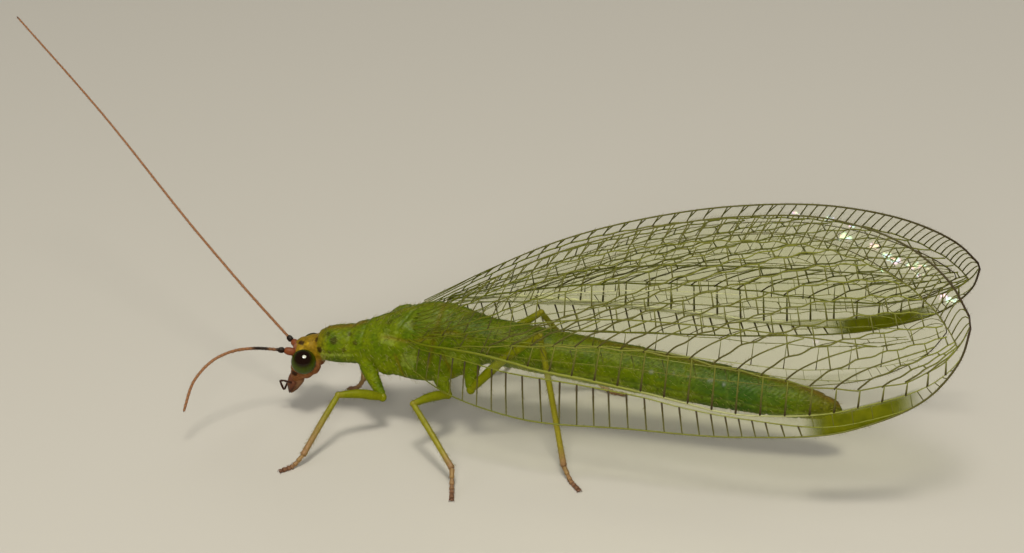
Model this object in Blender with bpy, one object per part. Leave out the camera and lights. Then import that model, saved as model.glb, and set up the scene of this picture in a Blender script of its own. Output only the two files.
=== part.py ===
"""A green lacewing standing on six feet, its four wings folded like a roof over its back.

Sizes are in millimetres, for a life-size insect: the head is at -X, the wing tips at +X, the
animal's left side is -Y, and the feet stand at Z = 0. The meshes are written in metres, and at
the end the whole animal is moved so that the middle of its floor box is the origin.
"""

import math

import bmesh
import bpy
import numpy as np
from mathutils import Matrix, Vector

MM = 0.001
GAP = 0.25  # air between two nodes that meet
EYE_GAP = 0.15
LIMB_RADIUS = 0.25  # no leg or feeler is thinner than this, but for its tip
LIMB_SIDES = 8
TRUNK_SIDES = 20
BALL_SIDES = 18
BALL_RINGS = 12

# The thorax from neck to waist, modelled whole: x, height of the middle line, half width, half height.
THORAX = (
    (-5.27, 2.20, 0.42, 0.42),
    (-5.06, 2.24, 0.54, 0.50),
    (-4.60, 2.28, 0.57, 0.53),
    (-4.05, 2.39, 0.63, 0.61),
    (-3.40, 2.50, 0.80, 0.84),
    (-2.80, 2.62, 0.86, 0.98),
    (-2.10, 2.70, 0.84, 0.99),
    (-1.50, 2.74, 0.80, 0.90),
    (-0.95, 2.77, 0.68, 0.76),
)
# Where each length of it starts and ends, with half a gap taken off at each thin cut.
THORAX_LENGTHS = {
    "prothorax": (-5.27, -4.00 - GAP / 2),
    "mesothorax": (-4.00 + GAP / 2, -2.10 - GAP / 2),
    "metathorax": (-2.10 + GAP / 2, -0.95),
}
TRUNK_STEP = 0.16

# Paired humps of the back over the wing roots: node, middle, radii.
BACK_HUMPS = {
    "mesothorax": ((-2.95, 0.40, 3.20), (0.62, 0.38, 0.44)),
    "metathorax": ((-1.50, 0.36, 3.28), (0.36, 0.32, 0.34)),
}

ABDOMEN_START = (-0.95 + GAP, 2.80)  # x and height of its middle line
ABDOMEN_END = (9.02, 1.72)
ABDOMEN_RADIUS = 0.62
ABDOMEN_SEGMENTS = 9
SEGMENT_RINGS = 4
SEGMENT_BULGE = 0.035

HEAD_MIDDLE = Vector((-5.84, 0.0, 1.84))
HEAD_RADII = Vector((0.40, 0.56, 0.60))
EYE_MIDDLE = Vector((-5.74, -0.52, 1.85))
EYE_RADII = Vector((0.345, 0.33, 0.345))
EYE_FLAT = 0.40  # distance of an eye's inner face from the middle plane
FACE = ((-5.92, 0.0, 1.62), (-6.24, 0.0, 1.02))
FACE_RADII = (0.42, 0.29)
NECK = ((-5.72, 0.0, 2.06), (-5.27 - GAP, 0.0, 2.15))
NECK_RADII = (0.42, 0.38)

# Feelers from the head outwards. The left one is short, the right one whole.
ANTENNA_LEFT = (
    (-5.95, -0.36, 2.04),
    (-6.45, -0.42, 2.10),
    (-7.08, -0.80, 2.26),
    (-7.57, -1.28, 2.34),
    (-7.98, -1.78, 2.24),
    (-8.34, -2.20, 1.84),
    (-8.52, -2.70, 1.12),
)
ANTENNA_RIGHT = (
    (-5.95, 0.36, 2.05),
    (-6.42, 0.42, 2.22),
    (-7.50, 0.70, 3.28),
    (-9.05, 1.35, 4.42),
    (-12.60, 3.30, 7.15),
    (-15.75, 5.40, 9.00),
)

# Left wings: points of the front edge, which is the lower one here, and of the hind edge.
FORE_COSTA = (
    (-2.95, -0.60, 2.62),
    (-2.66, -1.22, 2.44),
    (-1.64, -2.05, 2.26),
    (0.60, -2.65, 1.95),
    (3.65, -2.84, 2.05),
    (6.75, -2.99, 2.23),
    (9.60, -2.93, 2.76),
    (11.60, -2.49, 3.90),
    (12.14, -2.10, 4.72),
    (12.28, -1.80, 5.36),
)
FORE_HIND_EDGE = (
    (-2.40, -0.40, 3.30),
    (-1.95, -0.60, 3.80),
    (-0.95, -0.50, 4.55),
    (1.50, -0.42, 5.88),
    (3.80, -0.38, 6.72),
    (6.10, -0.36, 7.26),
    (8.70, -0.44, 7.42),
    (10.70, -0.82, 6.93),
    (11.72, -1.26, 6.26),
    (12.22, -1.64, 5.62),
)
HIND_COSTA = (
    (-1.60, -0.50, 3.05),
    (-1.10, -0.62, 3.42),
    (0.00, -0.54, 3.60),
    (1.20, -0.50, 3.64),
    (2.20, -0.86, 3.44),
    (3.40, -1.40, 3.15),
    (5.40, -1.70, 2.95),
    (7.80, -1.82, 3.05),
    (9.70, -1.62, 3.75),
    (10.62, -1.20, 4.72),
)
HIND_HIND_EDGE = (
    (-1.60, -0.35, 3.40),
    (-1.10, -0.50, 3.70),
    (0.00, -0.52, 4.18),
    (1.40, -0.50, 4.72),
    (3.20, -0.48, 5.15),
    (5.50, -0.46, 5.70),
    (7.80, -0.50, 5.85),
    (9.60, -0.68, 5.66),
    (10.30, -0.88, 5.32),
    (10.60, -1.08, 5.00),
)
# Main veins: share of the way from front to hind edge, at the root, at half length and at the tip.
FORE_VEINS = (
    (0.00, 0.00, 0.00),
    (0.22, 0.17, 0.09),
    (0.38, 0.34, 0.30),
    (0.54, 0.53, 0.52),
    (0.72, 0.74, 0.76),
    (1.00, 1.00, 1.00),
)
HIND_VEINS = (
    (0.00, 0.00, 0.00),
    (0.26, 0.16, 0.12),
    (0.50, 0.44, 0.42),
    (0.75, 0.72, 0.74),
    (1.00, 1.00, 1.00),
)
FORE_CROSS_VEINS = 14
HIND_CROSS_VEINS = 9
WING_HALF = 0.23  # half of the membrane's thickness at root, middle and front edge
WING_TIP_HALF = 0.13
HIND_EDGE_SHARE = 0.68  # of that thickness is left along the hind edge
WING_BOW = 0.24  # how far a wing bulges outwards from flat, between its edges
VEIN_RISE = 0.07
CROSS_VEIN_RISE = 0.05
VEIN_FOOT = 0.10  # from a vein's crest to its foot

# Leg joints of one side and the other: root, trochanter, knee, ankle, toe.
LEGS = {
    "fore_left": (
        (-3.72, -0.30, 1.95),
        (-3.45, -0.80, 1.15),
        (-4.46, -1.66, 1.55),
        (-5.13, -2.93, 0.30),
        (-5.56, -3.42, 0.0),
    ),
    "fore_right": (
        (-3.72, 0.30, 1.95),
        (-3.45, 0.80, 1.15),
        (-4.45, 1.25, 2.05),
        (-4.56, 1.38, 0.46),
        (-4.98, 1.50, 0.0),
    ),
    "mid_left": (
        (-1.95, -0.30, 2.20),
        (-1.60, -0.85, 1.46),
        (-2.31, -1.90, 1.64),
        (-0.96, -3.15, 0.50),
        (-0.79, -3.95, 0.0),
    ),
    "mid_right": (
        (-1.95, 0.30, 2.20),
        (-1.60, 0.85, 1.46),
        (-2.31, 1.95, 1.64),
        (-0.98, 3.25, 0.50),
        (-0.82, 4.05, 0.0),
    ),
    "hind_left": (
        (-1.15, -0.30, 2.30),
        (-0.95, -0.90, 1.70),
        (1.00, -1.12, 3.66),
        (1.85, -2.05, 0.30),
        (2.37, -2.78, 0.0),
    ),
    "hind_right": (
        (-1.15, 0.30, 2.30),
        (-1.15, 0.88, 1.70),
        (0.59, 1.06, 3.25),
        (1.82, 2.92, 0.30),
        (2.62, 2.77, 0.0),
    ),
}
LEG_RADII = (0.30, 0.27, 0.25, 0.24, 0.20)  # at the same joints
CORNER = 0.40  # length of leg that each bend takes on either side
KNEE_TO_CUT = 0.55  # the shin starts this far past the knee
TOE_HEIGHT = 0.13  # of the toe's middle line, so that its underside is cut flat


def clear_scene():
    for old in list(bpy.data.objects):
        bpy.data.objects.remove(old)


def linear(hex_colour):
    """Linear colour of an sRGB hex value."""
    shares = [int(hex_colour[i:i + 2], 16) / 255 for i in (1, 3, 5)]
    return [c / 12.92 if c <= 0.04045 else ((c + 0.055) / 1.055) ** 2.4 for c in shares] + [1.0]


def finish(name, hex_colour, roughness, alpha=1.0):
    """A material of one colour for one node."""
    material = bpy.data.materials.new(name)
    material.use_nodes = True
    shader = material.node_tree.nodes["Principled BSDF"]
    shader.inputs["Base Color"].default_value = linear(hex_colour)
    shader.inputs["Roughness"].default_value = roughness
    shader.inputs["Metallic"].default_value = 0.0
    shader.inputs["Alpha"].default_value = alpha
    return material


def smooth_route(points, count):
    """Evenly spread points on a smooth curve through the given ones."""
    points = np.array(points, float)
    reach = np.concatenate([[0.0], np.cumsum(np.linalg.norm(np.diff(points, axis=0), axis=1))])
    slopes = np.gradient(points, reach, axis=0)
    where = np.linspace(0.0, reach[-1], count)
    at = np.clip(np.searchsorted(reach, where) - 1, 0, len(points) - 2)
    span = (reach[at + 1] - reach[at])[:, None]
    t = (where - reach[at])[:, None] / span
    start = (2 * t**3 - 3 * t**2 + 1) * points[at] + (t**3 - 2 * t**2 + t) * span * slopes[at]
    end = (3 * t**2 - 2 * t**3) * points[at + 1] + (t**3 - t**2) * span * slopes[at + 1]
    return start + end


def bent_route(joints, values):
    """A route through a limb's joints with rounded bends, and a value such as a radius along it."""
    joints = [np.array(joint, float) for joint in joints]
    points, sizes = [joints[0]], [values[0]]
    for before, joint, after, value in zip(joints, joints[1:], joints[2:], values[1:]):
        to_before, to_after = before - joint, after - joint
        reach_before = min(CORNER, np.linalg.norm(to_before) * 0.45)
        reach_after = min(CORNER, np.linalg.norm(to_after) * 0.45)
        start = joint + to_before / np.linalg.norm(to_before) * reach_before
        end = joint + to_after / np.linalg.norm(to_after) * reach_after
        for t in (0.0, 0.25, 0.5, 0.75, 1.0):
            points.append((1 - t)**2 * start + 2 * t * (1 - t) * joint + t**2 * end)
            sizes.append(value)
    return np.array(points + [joints[-1]]), np.array(sizes + [values[-1]])


def stretch(points, values, start, end):
    """The part of a route between two lengths along it."""
    reach = np.concatenate([[0.0], np.cumsum(np.linalg.norm(np.diff(points, axis=0), axis=1))])
    end = min(end, reach[-1])
    inner = [r for r in reach if start + 0.02 < r < end - 0.02]
    where = np.array([start] + inner + [end])
    cut = np.stack([np.interp(where, reach, points[:, axis]) for axis in range(3)], axis=1)
    return cut, np.interp(where, reach, values)


def shape(rings):
    """A closed mesh object through rings of as many points each, with flat ends."""
    mesh = bmesh.new()
    rows = [[mesh.verts.new(Vector(point) * MM) for point in ring] for ring in rings]
    for row, following in zip(rows, rows[1:]):
        for i in range(len(row)):
            j = (i + 1) % len(row)
            mesh.faces.new((row[i], row[j], following[j], following[i]))
    mesh.faces.new(rows[0][::-1])
    mesh.faces.new(rows[-1])
    return made("shape", mesh)


def made(name, mesh):
    """An object that holds a finished bmesh, with its faces turned out."""
    bmesh.ops.recalc_face_normals(mesh, faces=mesh.faces)
    data = bpy.data.meshes.new(name)
    mesh.to_mesh(data)
    mesh.free()
    body = bpy.data.objects.new(name, data)
    bpy.context.scene.collection.objects.link(body)
    return body


def tube(points, radii, sides=LIMB_SIDES, grow=0.0):
    """A round rod along a route, each ring square to it and turned as little as can be."""
    points = [Vector(point) for point in points]
    ways = [(after - before).normalized() for before, after in zip(points, points[1:])]
    ways = [ways[0]] + [(a + b).normalized() for a, b in zip(ways, ways[1:])] + [ways[-1]]
    across = ways[0].orthogonal().normalized()
    rings = []
    for point, way, radius in zip(points, ways, radii):
        across = (across - way * across.dot(way)).normalized()
        other = way.cross(across)
        turns = [2 * math.pi * i / sides for i in range(sides)]
        reach = radius + grow
        rings.append([point + (across * math.cos(a) + other * math.sin(a)) * reach for a in turns])
    return shape(rings)


def ball(middle, radii):
    """An ellipsoid."""
    mesh = bmesh.new()
    place = Matrix.Translation(Vector(middle) * MM) @ Matrix.Diagonal((*(Vector(radii) * MM), 1.0))
    bmesh.ops.create_uvsphere(
        mesh, u_segments=BALL_SIDES, v_segments=BALL_RINGS, radius=1.0, matrix=place
    )
    return made("ball", mesh)


def trunk(start, end, grow=0.0):
    """A length of the thorax between two places, with an oval section and flat ends."""
    stations = smooth_route(THORAX, 80)
    places = np.linspace(start, end, max(4, round((end - start) / TRUNK_STEP)))
    rows = np.stack([np.interp(places, stations[:, 0], stations[:, i]) for i in range(4)], axis=1)
    rows[0, 0] -= grow
    rows[-1, 0] += grow
    rings = []
    for x, z, half_width, half_height in rows:
        turns = [2 * math.pi * i / TRUNK_SIDES for i in range(TRUNK_SIDES)]
        rings.append([
            (x, (half_width + grow) * math.cos(a), z + (half_height + grow) * math.sin(a))
            for a in turns
        ])
    return shape(rings)


def evaluated_mesh(body):
    graph = bpy.context.evaluated_depsgraph_get()
    return bpy.data.meshes.new_from_object(body.evaluated_get(graph))


def keep_largest(data):
    """Leaves only the closed surface that holds the most space."""
    mesh = bmesh.new()
    mesh.from_mesh(data)
    unseen, surfaces = set(mesh.faces), []
    while unseen:
        front = [unseen.pop()]
        surface = set(front)
        while front:
            near = {face for edge in front.pop().edges for face in edge.link_faces} & unseen
            unseen -= near
            surface |= near
            front.extend(near)
        surfaces.append(surface)
    if len(surfaces) > 1:
        def held(surface):
            return abs(sum(
                face.calc_center_median().dot(face.normal) * face.calc_area() for face in surface
            ))
        surfaces.sort(key=held)
        loose = [face for surface in surfaces[:-1] for face in surface]
        bmesh.ops.delete(mesh, geom=loose, context="FACES")
    mesh.to_mesh(data)
    mesh.free()


def combine(base, others, operation):
    """Joins other shapes to a shape, or cuts them from it, by one Boolean that is applied."""
    group = bpy.data.collections.new("shapes")
    bpy.context.scene.collection.children.link(group)
    for other in others:
        bpy.context.scene.collection.objects.unlink(other)
        group.objects.link(other)
    boolean = base.modifiers.new(operation.lower(), "BOOLEAN")
    boolean.operand_type = "COLLECTION"
    boolean.collection = group
    boolean.operation = operation
    boolean.solver = "EXACT"
    joined = evaluated_mesh(base)
    base.modifiers.clear()
    base.data = joined
    for other in others:
        bpy.data.objects.remove(other)
    bpy.data.collections.remove(group)
    keep_largest(base.data)
    return base


def trim(body, point, out):
    """Cuts away what lies past a plane and closes the cut with a flat face."""
    mesh = bmesh.new()
    mesh.from_mesh(body.data)
    geometry = mesh.verts[:] + mesh.edges[:] + mesh.faces[:]
    bmesh.ops.bisect_plane(
        mesh, geom=geometry, plane_co=Vector(point) * MM, plane_no=out, clear_outer=True
    )
    rim = [edge for edge in mesh.edges if edge.is_boundary]
    bmesh.ops.holes_fill(mesh, edges=rim)
    bmesh.ops.recalc_face_normals(mesh, faces=mesh.faces)
    mesh.to_mesh(body.data)
    mesh.free()
    return body


def named(body, name, material, sharp=35):
    """Gives a finished shape its node's name and its material."""
    body.name = name
    body.data.name = name
    body.data.materials.clear()
    body.data.materials.append(material)
    body.data.shade_smooth()
    body.data.set_sharp_from_angle(angle=math.radians(sharp))
    return body


def flipped(point, side):
    """A point of the left side, or its mirror image on the right."""
    return Vector((point[0], point[1] * -side, point[2]))


def thorax_shapes(grow=0.0):
    """The three lengths of the thorax with their humps, as they are or grown all round."""
    shapes = {}
    for name, (start, end) in THORAX_LENGTHS.items():
        shapes[name] = [trunk(start, end, grow)]
        if name in BACK_HUMPS:
            middle, radii = BACK_HUMPS[name]
            radii = Vector(radii) + Vector((grow,) * 3)
            shapes[name] += [ball(flipped(middle, side), radii) for side in (-1, 1)]
    return shapes


def grown_thorax():
    """Cutters that leave the gap between the thorax and what grows from it."""
    return [shape for shapes in thorax_shapes(GAP).values() for shape in shapes]


def thorax():
    greens = {"prothorax": "#7d9a1c", "mesothorax": "#6f9313", "metathorax": "#648c12"}
    for name, shapes in thorax_shapes().items():
        body = combine(shapes[0], shapes[1:], "UNION") if len(shapes) > 1 else shapes[0]
        named(body, name, finish(name, greens[name], 0.45))


def abdomen():
    """A long body of segments, each a little fuller in its middle, that closes at the tail."""
    rings = []
    count = ABDOMEN_SEGMENTS * SEGMENT_RINGS
    for ring in range(count + 1):
        share = ring / count
        x = ABDOMEN_START[0] + (ABDOMEN_END[0] - ABDOMEN_START[0]) * share
        z = ABDOMEN_START[1] + (ABDOMEN_END[1] - ABDOMEN_START[1]) * share
        taper = 1.0 - 0.16 * max(0.0, share - 0.45) / 0.55
        closing = math.sqrt(max(0.0, 1.0 - max(0.0, (share - 0.89) / 0.115)**2))
        bulge = SEGMENT_BULGE * math.sin(math.pi * (ring % SEGMENT_RINGS) / SEGMENT_RINGS)
        radius = max(0.06, (ABDOMEN_RADIUS * taper + bulge) * closing)
        turns = [2 * math.pi * i / TRUNK_SIDES for i in range(TRUNK_SIDES)]
        rings.append([(x, radius * math.cos(a), z + radius * math.sin(a)) for a in turns])
    named(shape(rings), "abdomen", finish("abdomen", "#3f7d1a", 0.4))


def head_shapes(grow=0.0):
    """Skull, face and neck, as they are or grown all round."""
    return [
        ball(HEAD_MIDDLE, HEAD_RADII + Vector((grow,) * 3)),
        tube(FACE, FACE_RADII, BALL_SIDES, grow),
        tube(NECK, NECK_RADII, BALL_SIDES, grow),
    ]


def eye_ball(side, grow=0.0):
    """An eye, cut flat towards the head, as it is or grown all round."""
    eye = ball(flipped(EYE_MIDDLE, side), EYE_RADII + Vector((grow,) * 3))
    return trim(eye, (0.0, side * (EYE_FLAT - grow), 0.0), (0.0, -side, 0.0))


def head():
    shapes = head_shapes()
    skull = combine(shapes[0], shapes[1:], "UNION")
    skull = combine(skull, [eye_ball(-1, EYE_GAP), eye_ball(1, EYE_GAP)], "DIFFERENCE")
    named(skull, "head", finish("head", "#b08a2c", 0.45))
    for side, word in ((-1, "left"), (1, "right")):
        named(eye_ball(side), f"eye_{word}", finish(f"eye_{word}", "#1d2a12", 0.15))


def mouthparts():
    """Upper lip, lower lip and two pairs of palps, all hanging from under the face."""
    parts = [
        tube(((-6.22, 0, 1.02), (-6.36, 0, 0.56)), (0.24, 0.11), 12),
        tube(((-6.12, 0, 1.02), (-6.22, 0, 0.50)), (0.24, 0.08), 12),
    ]
    for side in (-1, 1):
        upper = ((-6.20, -0.14, 0.84), (-6.46, -0.24, 0.98), (-6.60, -0.27, 0.92), (-6.44, -0.26, 0.62))
        lower = ((-6.14, -0.08, 0.74), (-6.12, -0.20, 0.52), (-6.28, -0.21, 0.42))
        parts.append(tube([flipped(p, side) for p in upper], (0.10, 0.09, 0.08, 0.05)))
        parts.append(tube([flipped(p, side) for p in lower], (0.09, 0.07, 0.05)))
    mouth = combine(parts[0], parts[1:], "UNION")
    mouth = combine(mouth, head_shapes(EYE_GAP), "DIFFERENCE")
    named(mouth, "mouthparts", finish("mouthparts", "#8a4a20", 0.5))


def antenna(name, points, spacing=0.5, tip=0.15):
    """A feeler that keeps its thickness and tapers only near its tip."""
    length = sum((Vector(b) - Vector(a)).length for a, b in zip(points, points[1:]))
    route = smooth_route(points, round(length / spacing))
    shares = np.linspace(0.0, 1.0, len(route))
    radii = np.interp(shares, (0.0, 1.0 - tip, 1.0), (LIMB_RADIUS, LIMB_RADIUS, 0.10))
    feeler = tube(route, radii)
    named(combine(feeler, head_shapes(GAP), "DIFFERENCE"), name, finish(name, "#8a5a34", 0.5))


def with_feet(crests, foot):
    """Places of crests with a foot on either side of each, as far off as there is room for."""
    places = [crests[0]]
    for before, after in zip(crests, crests[1:]):
        reach = np.minimum(foot, (after - before) / 3)
        places += [before + reach, after - reach, after]
    return np.array(places)


def wing_surface(costa, hind_edge, veins, cross_veins, side):
    """Both faces of a wing, bowed between its front and hind edges, as grids of points."""
    front, back = smooth_route(costa, 200), smooth_route(hind_edge, 200)
    length = np.linalg.norm(np.diff(front, axis=0), axis=1).sum()
    along = with_feet(np.linspace(0.0, 1.0, cross_veins), VEIN_FOOT / length)
    at = np.linspace(0.0, 1.0, len(front))
    front = np.stack([np.interp(along, at, front[:, axis]) for axis in range(3)], axis=1)
    back = np.stack([np.interp(along, at, back[:, axis]) for axis in range(3)], axis=1)
    chord = np.linalg.norm(back - front, axis=1)
    crests = [np.interp(along, (0.0, 0.5, 1.0), shares) for shares in veins]
    across = with_feet(crests, VEIN_FOOT / chord)
    middle = front[None] + (back - front)[None] * across[..., None]
    out = np.cross(np.gradient((front + back) / 2, axis=0), back - front)
    out /= np.linalg.norm(out, axis=1)[:, None]
    roomy = np.minimum(1.0, chord / chord.max())
    bow = WING_BOW * roomy * 4 * across * (1 - across)
    middle += out[None] * bow[..., None]
    half = np.interp(along, (0.0, 0.45, 1.0), (WING_HALF, WING_HALF, WING_TIP_HALF))
    half = half * (1 - (1 - HIND_EDGE_SHARE) * across**2)
    rise = np.zeros(half.shape)
    rise[:, ::3] = CROSS_VEIN_RISE
    rise[::3] = VEIN_RISE
    half += rise * np.minimum(1.0, 1.6 * roomy)
    faces = [middle + out[None] * half[..., None], middle - out[None] * half[..., None]]
    for face in faces:
        face[..., 1] *= -side
    return faces


def wing(name, surfaces, hex_colour):
    """A wing whose main veins and cross-veins stand up as ridges on both faces."""
    outer, inner = surfaces
    rows, columns = outer.shape[:2]
    mesh = bmesh.new()
    sheets = [
        [[mesh.verts.new(Vector(point) * MM) for point in row] for row in sheet]
        for sheet in (outer, inner)
    ]
    for row in range(rows - 1):
        for column in range(columns - 1):
            low = (row + column) % 2
            for sheet in sheets:
                a, b = sheet[row][column], sheet[row][column + 1]
                c, d = sheet[row + 1][column + 1], sheet[row + 1][column]
                pair = ((a, b, c), (a, c, d)) if low else ((a, b, d), (b, c, d))
                for corners in pair:
                    mesh.faces.new(corners)
    rim = [(0, column) for column in range(columns)]
    rim += [(row, columns - 1) for row in range(1, rows)]
    rim += [(rows - 1, column) for column in range(columns - 2, -1, -1)]
    rim += [(row, 0) for row in range(rows - 2, 0, -1)]
    for (row, column), (next_row, next_column) in zip(rim, rim[1:] + rim[:1]):
        mesh.faces.new((
            sheets[0][row][column], sheets[0][next_row][next_column],
            sheets[1][next_row][next_column], sheets[1][row][column],
        ))
    vane = combine(made("wing", mesh), grown_thorax(), "DIFFERENCE")
    named(vane, name, finish(name, hex_colour, 0.3, alpha=0.5))


def wings():
    for side, word in ((-1, "left"), (1, "right")):
        fore = wing_surface(FORE_COSTA, FORE_HIND_EDGE, FORE_VEINS, FORE_CROSS_VEINS, side)
        hind = wing_surface(HIND_COSTA, HIND_HIND_EDGE, HIND_VEINS, HIND_CROSS_VEINS, side)
        wing(f"forewing_{word}", fore, "#b9c48f")
        wing(f"hindwing_{word}", hind, "#a9b884")


def leg(name, joints):
    """A leg in two nodes, parted by a thin cut below the knee, with the toe's sole on the floor."""
    joints = [Vector(joint) for joint in joints]
    joints[-1].z = TOE_HEIGHT
    to_knee = sum((b - a).length for a, b in zip(joints[:2], joints[1:3]))
    route, radii = bent_route(joints, LEG_RADII)
    cut = to_knee + KNEE_TO_CUT
    upper = tube(*stretch(route, radii, 0.0, cut - GAP))
    upper = combine(upper, grown_thorax(), "DIFFERENCE")
    named(upper, f"{name}_thigh", finish(f"{name}_thigh", "#8fae3a", 0.45))
    lower = tube(*stretch(route, radii, cut, math.inf))
    lower = trim(lower, (0.0, 0.0, 0.0), (0.0, 0.0, -1.0))
    named(lower, f"{name}_shin", finish(f"{name}_shin", "#9a8f45", 0.5))


def legs():
    for name, joints in LEGS.items():
        leg(f"leg_{name}", joints)


def set_origin():
    """Puts the whole animal under one empty, so that the middle of its floor box is the origin."""
    bodies = [body for body in bpy.data.objects if body.type == "MESH"]
    corners = np.array([body.matrix_world @ Vector(c) for body in bodies for c in body.bound_box])
    low, high = corners.min(axis=0), corners.max(axis=0)
    middle = (low + high) / 2
    frame = bpy.data.objects.new("lacewing_frame", None)
    bpy.context.scene.collection.objects.link(frame)
    frame.location = (-middle[0], -middle[1], 0.0)
    for body in bodies:
        body.parent = frame


def main():
    clear_scene()
    thorax()
    abdomen()
    head()
    mouthparts()
    antenna("antenna_left", ANTENNA_LEFT)
    antenna("antenna_right", ANTENNA_RIGHT)
    wings()
    legs()
    set_origin()


main()
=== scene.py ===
"""The looks of a green lacewing, a still model of life size that stands on a pale floor.

Shapes are drawn in millimetres with the head towards -X, the animal's left side towards -Y
and the feet on Z = 0. piece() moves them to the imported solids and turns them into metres.
"""

import math

import bpy
import numpy as np
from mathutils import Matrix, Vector


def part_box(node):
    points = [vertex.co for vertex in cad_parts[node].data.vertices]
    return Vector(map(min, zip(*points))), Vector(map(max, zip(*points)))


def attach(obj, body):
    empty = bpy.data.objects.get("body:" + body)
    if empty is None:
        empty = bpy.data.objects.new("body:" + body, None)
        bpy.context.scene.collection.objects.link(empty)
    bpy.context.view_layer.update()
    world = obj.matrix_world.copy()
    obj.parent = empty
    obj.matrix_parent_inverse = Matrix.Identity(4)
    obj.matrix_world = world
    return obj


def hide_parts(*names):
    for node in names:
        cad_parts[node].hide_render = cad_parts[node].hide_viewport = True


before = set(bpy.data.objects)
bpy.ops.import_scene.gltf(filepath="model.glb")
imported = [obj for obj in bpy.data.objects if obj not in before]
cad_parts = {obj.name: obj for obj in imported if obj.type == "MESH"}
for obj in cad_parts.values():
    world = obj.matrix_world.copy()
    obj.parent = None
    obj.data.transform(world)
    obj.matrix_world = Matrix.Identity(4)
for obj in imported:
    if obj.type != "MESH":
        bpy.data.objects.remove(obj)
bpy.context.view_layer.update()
chance = np.random.default_rng(11)

MM = 0.001
EYE_MIDDLE = (-5.74, -0.52, 1.85)
EYE_RADII = (0.345, 0.33, 0.345)
eye_box = np.array([list(corner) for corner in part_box("eye_left")]) / MM
left_wing_box = np.array([list(corner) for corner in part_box("forewing_left")]) / MM
right_wing_box = np.array([list(corner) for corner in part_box("forewing_right")]) / MM
# The left eye is drawn around EYE_MIDDLE, and the wings evenly to both sides of y = 0.
SHIFT = np.array(
    (eye_box[:, 0].mean() - EYE_MIDDLE[0], (left_wing_box[0, 1] + right_wing_box[1, 1]) / 2, 0.0)
)
MIRROR = np.array((1.0, -1.0, 1.0))
SKIN_GRAIN = 0.021
SKIN_ROUNDS = 26
BODY_HAIRS = 2600
# radius in mm of a hair at its root, and how far its tip bends aside as a share of its length
HAIR_RADIUS = 0.0045
HAIR_BEND = 0.10


# Shapes

class Gather:
    """Closed shapes collected into one mesh, each with its own values of paint."""

    def __init__(self, *paints):
        self.points = []
        self.faces = []
        self.paints = {paint: [] for paint in paints}
        self.count = 0

    def add(self, shape, **values):
        """Adds a shape; a paint that it isn't given is 0 on it."""
        points, faces = shape
        self.points.append(points)
        self.faces.extend([[corner + self.count for corner in face] for face in faces])
        for paint, kept in self.paints.items():
            kept.append(np.broadcast_to(values.get(paint, 0.0), len(points)))
        self.count += len(points)

    def parts(self):
        """All points, faces and paints, as piece() takes them."""
        joined = {paint: np.concatenate(kept) for paint, kept in self.paints.items()}
        return np.concatenate(self.points), self.faces, joined


def unit_rows(vectors):
    """The same directions, each 1 long."""
    return vectors / np.linalg.norm(vectors, axis=1)[:, None]


def reach_along(points):
    """How far along its route each point lies."""
    return np.concatenate([[0.0], np.cumsum(np.linalg.norm(np.diff(points, axis=0), axis=1))])


def blended(where, stops, rows):
    """The rows that stand at the stops, blended at the places between them."""
    return np.stack([np.interp(where, stops, column) for column in rows.T], -1)


def smooth_route(points, count):
    """Evenly spread points of a smooth curve through the given ones."""
    points = np.array(points, float)
    reach = reach_along(points)
    slopes = np.gradient(points, reach, axis=0)
    where = np.linspace(0.0, reach[-1], count)
    at = np.clip(np.searchsorted(reach, where) - 1, 0, len(points) - 2)
    span = (reach[at + 1] - reach[at])[:, None]
    t = (where - reach[at])[:, None] / span
    return (
        (2 * t**3 - 3 * t**2 + 1) * points[at]
        + (t**3 - 2 * t**2 + t) * span * slopes[at]
        + (3 * t**2 - 2 * t**3) * points[at + 1]
        + (t**3 - t**2) * span * slopes[at + 1]
    )


def step(low, high, value):
    """0 below low, 1 above high and smooth between; low may be the larger one."""
    share = np.clip((value - low) / (high - low), 0.0, 1.0)
    return share * share * (3 - 2 * share)


def crease(distance, width):
    """1 on a line and fading to 0 away from it."""
    return np.exp(-((distance / width) ** 2))


def ring_walls(count, sides):
    """The numbers of the points of rings one after another, and the quads between the rings."""
    index = np.arange(count * sides).reshape(count, sides)
    beside = np.roll(index, -1, axis=1)
    walls = np.stack((index[:-1], beside[:-1], beside[1:], index[1:]), -1).reshape(-1, 4)
    return index, walls.tolist()


def closed_rings(points):
    """A closed shape through rings of points, flat at its first and its last ring."""
    index, walls = ring_walls(*points.shape[:2])
    return points.reshape(-1, 3), walls + [index[0][::-1].tolist(), index[-1].tolist()]


def tube(path, radii, sides=8):
    """A closed round tube along a path, with one radius for each of its points."""
    path = np.asarray(path, float)
    radii = np.broadcast_to(radii, len(path))
    heading = unit_rows(np.gradient(path, axis=0))
    side = np.cross(heading[0], (0.0, 0.0, 1.0))
    if np.linalg.norm(side) < 0.05:
        side = np.array((0.0, 1.0, 0.0))
    across = []
    for ahead in heading:
        side = side - ahead * side.dot(ahead)
        side = side / np.linalg.norm(side)
        across.append(side)
    across = np.array(across)
    above = np.cross(heading, across)
    turn = np.linspace(0, 2 * math.pi, sides, endpoint=False)[None, :, None]
    ring = across[:, None] * np.cos(turn) + above[:, None] * np.sin(turn)
    return closed_rings(path[:, None] + radii[:, None, None] * ring)


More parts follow.
